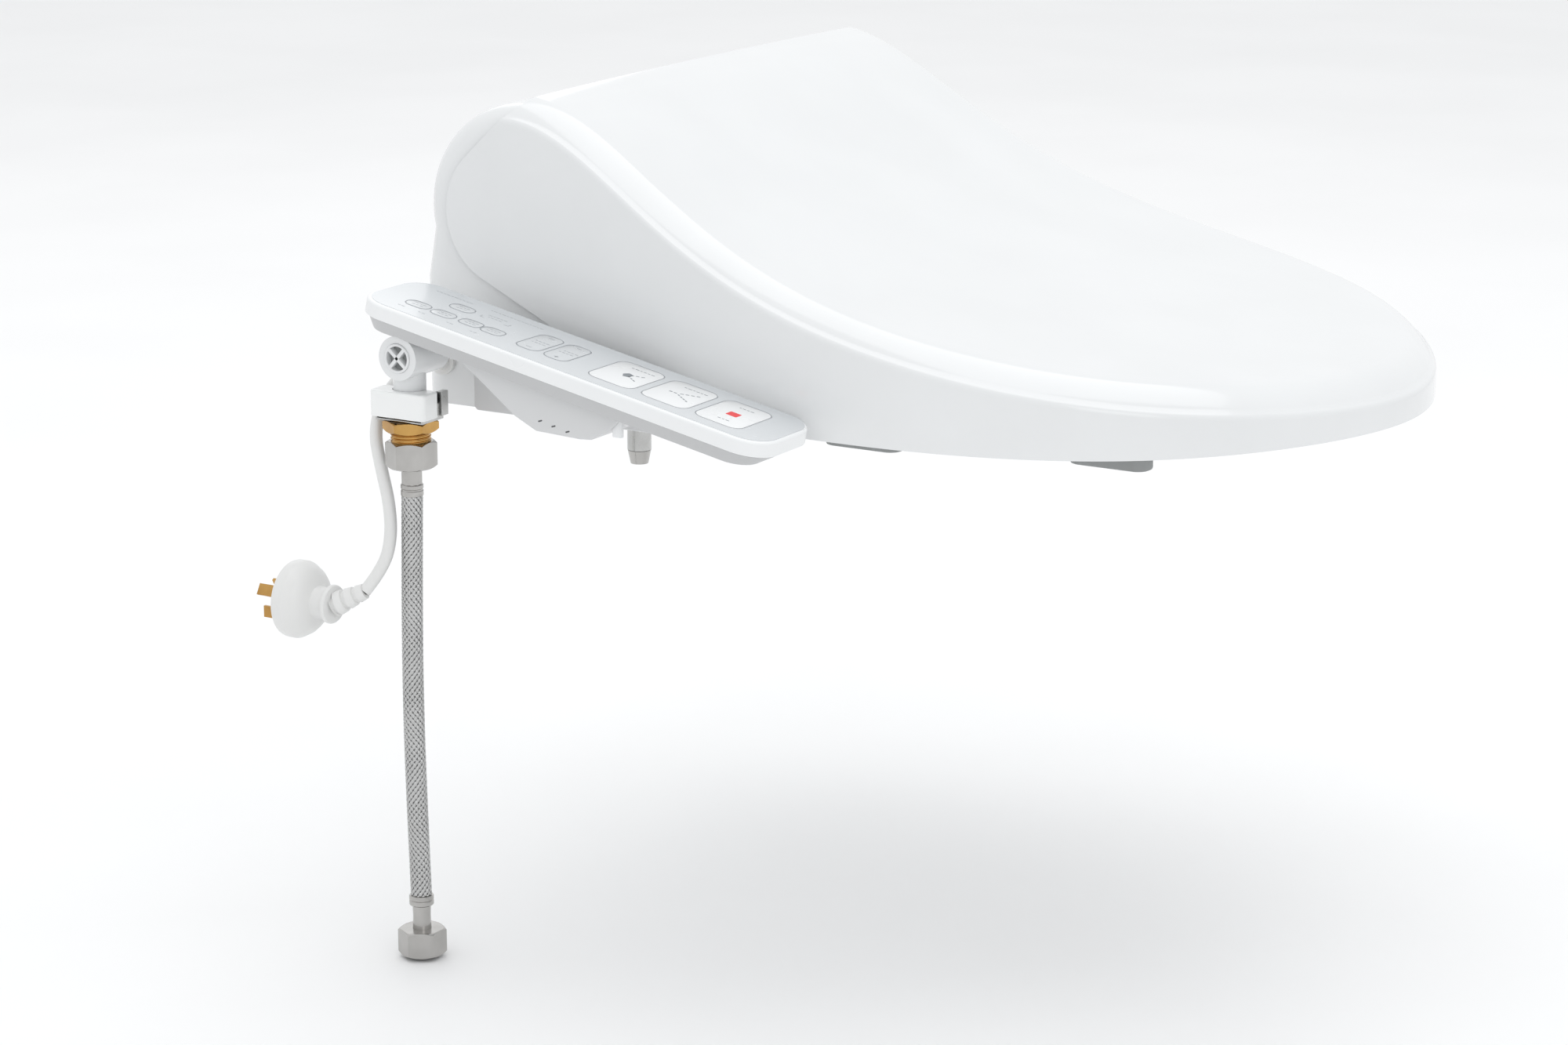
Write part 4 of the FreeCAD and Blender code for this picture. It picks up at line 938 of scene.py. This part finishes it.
def ribbed_sleeve(name, start, end, r0, r1, ribs, body):
    """A tapered strain relief with grooves between its ribs, open along the cord."""
    length = (end - start).length
    profile = [(0.45 * r0, 0.0)]
    for k in range(ribs):
        z0, z1 = length * k / ribs, length * (k + RIB_PART) / ribs
        a, b = (r0 + (r1 - r0) * z / length for z in (z0, z1))
        profile += [(a * 0.97, z0), (a, z0 + 0.0003), (b, z1), (b * 0.80, z1 + 0.0004),
                    (b * 0.80, length * (k + 1) / ribs - 0.0004)]
    profile += [(r1, length), (0.45 * r0, length)]
    return finish_piece(lathe(name, profile, along(start, end), 48), body, "cord", "cord")


PLUG_NECK = Vector((-262, 75.5, -97)) * MM
relief_tip = Vector(CORD_ROUTE[0]) * MM
relief_wall = Vector((-183, CORD_ROUTE[0][1], CORD_ROUTE[0][2])) * MM


PLUG_PROFILE = [(0, -0.2), (8.6, -0.2), (10.0, 0.2), (10.5, 1.0), (10.5, 2.2), (10.0, 3.0), (8.8, 3.4),
                (8.6, 4.2), (8.6, 9.0), (9.0, 10.4), (10.6, 11.4), (13.4, 12.2), (16.4, 14.0), (18.6, 16.6),
                (19.8, 19.0), (20.6, 20.4), (21.0, 21.4), (21.0, 25.8), (20.7, 26.8), (19.8, 27.4), (0, 27.4)]


def make_plug():
    """The round wall plug's body and its relief, which the cord runs into."""
    turn = Matrix.Translation(PLUG_NECK) @ ABOUT_Y
    body = lathe("plug_moulding", scaled(PLUG_PROFILE), turn, 96, False)
    finish_piece(body, "casing", "cord", "cord", "plug_body")
    tip = Vector(CORD_ROUTE[-1]) * MM
    sleeve = ribbed_sleeve("plug_relief_sleeve", tip, PLUG_NECK, 4.3 * MM, 7.0 * MM, 3, "casing")
    return body, sleeve


plug_moulding, plug_sleeve = make_plug()
ribbed_sleeve("housing_relief_sleeve", relief_tip, relief_wall, 4.0 * MM, 5.6 * MM, 3, "casing")

# ---------------------------------------------------------------- carried-over CAD nodes
CARRIED = {
    "steel": ["hinge_pins", "bowl_bolts", "nozzle_motors"],
    "nickel": ["expansion_nuts"],
    "grey_rubber": ["bolt_washers"],
    "black_rubber": ["hose_washers"],
    "white_plastic": ["nozzle_feminine", "nozzle_posterior", "pinion_feminine", "pinion_posterior"],
    "grey_white_plastic": ["nozzle_cradle", "flow_divider_valve", "dryer_impeller", "dryer_duct",
                           "deodoriser_cartridge"],
    "dark_plastic": ["soft_close_dampers", "heater_tank", "solenoid_valve", "dryer_fan_case", "transformer",
                     "check_valve"],
    "circuit": ["control_board", "panel_board"],
    "copper": ["seat_heating_foil"],
    "brass": ["plug_pins"],
    "cord": ["cord_relief"],
}
for look, names in CARRIED.items():
    for name in names:
        slots = frame["nodes"][name].data.materials
        slots.clear()
        slots.append(MATERIALS[look])

tuple(hose_line[0])
[tuple(p) for p in hose_line]


# ---------------------------------------------------------------- studio
def area_light(name, place, target, size, power):
    """A square soft light that faces its target."""
    data = bpy.data.lights.new(name, "AREA")
    data.shape = "RECTANGLE"
    data.size = data.size_y = size
    data.energy = power
    light = bpy.data.objects.new(name, data)
    way = Vector(place) - Vector(target)
    light.matrix_world = Matrix.Translation(place) @ way.to_track_quat("Z", "Y").to_matrix().to_4x4()
    bpy.context.scene.collection.objects.link(light)


def make_studio():
    """A pale floor under the part, an even sky and three soft lights."""
    low = cad_box[0][2] - 0.002
    floor = slab("floor", [(-6, -6), (6, -6), (6, 6), (-6, 6)], low - 0.01, low)
    n = Nodes("floor_pale")
    n.colour(n.blend(n.noise(3.0), (0.90, 0.90, 0.90), (0.92, 0.92, 0.92)))
    n.shader.inputs["Roughness"].default_value = 0.75
    n.bump(n.noise(60.0), 0.1, 0.0005)
    floor.data.materials.append(n.material)
    world = bpy.data.worlds.new("studio")
    bpy.context.scene.world = world
    world.use_nodes = True
    world.node_tree.nodes["Background"].inputs["Color"].default_value = (0.98, 0.99, 1.0, 1)
    world.node_tree.nodes["Background"].inputs["Strength"].default_value = 0.95
    area_light("top_soft", (0.2, -0.3, 2.2), (0, -0.15, 0.05), 2.2, 15)
    area_light("front_left", (-1.8, -2.0, 1.0), (-0.1, -0.1, 0.05), 1.2, 4)
    area_light("rear_right", (1.8, 1.6, 1.4), (0, 0, 0.1), 1.2, 2.5)


make_studio()
bpy.context.scene.view_settings.view_transform = "Standard"
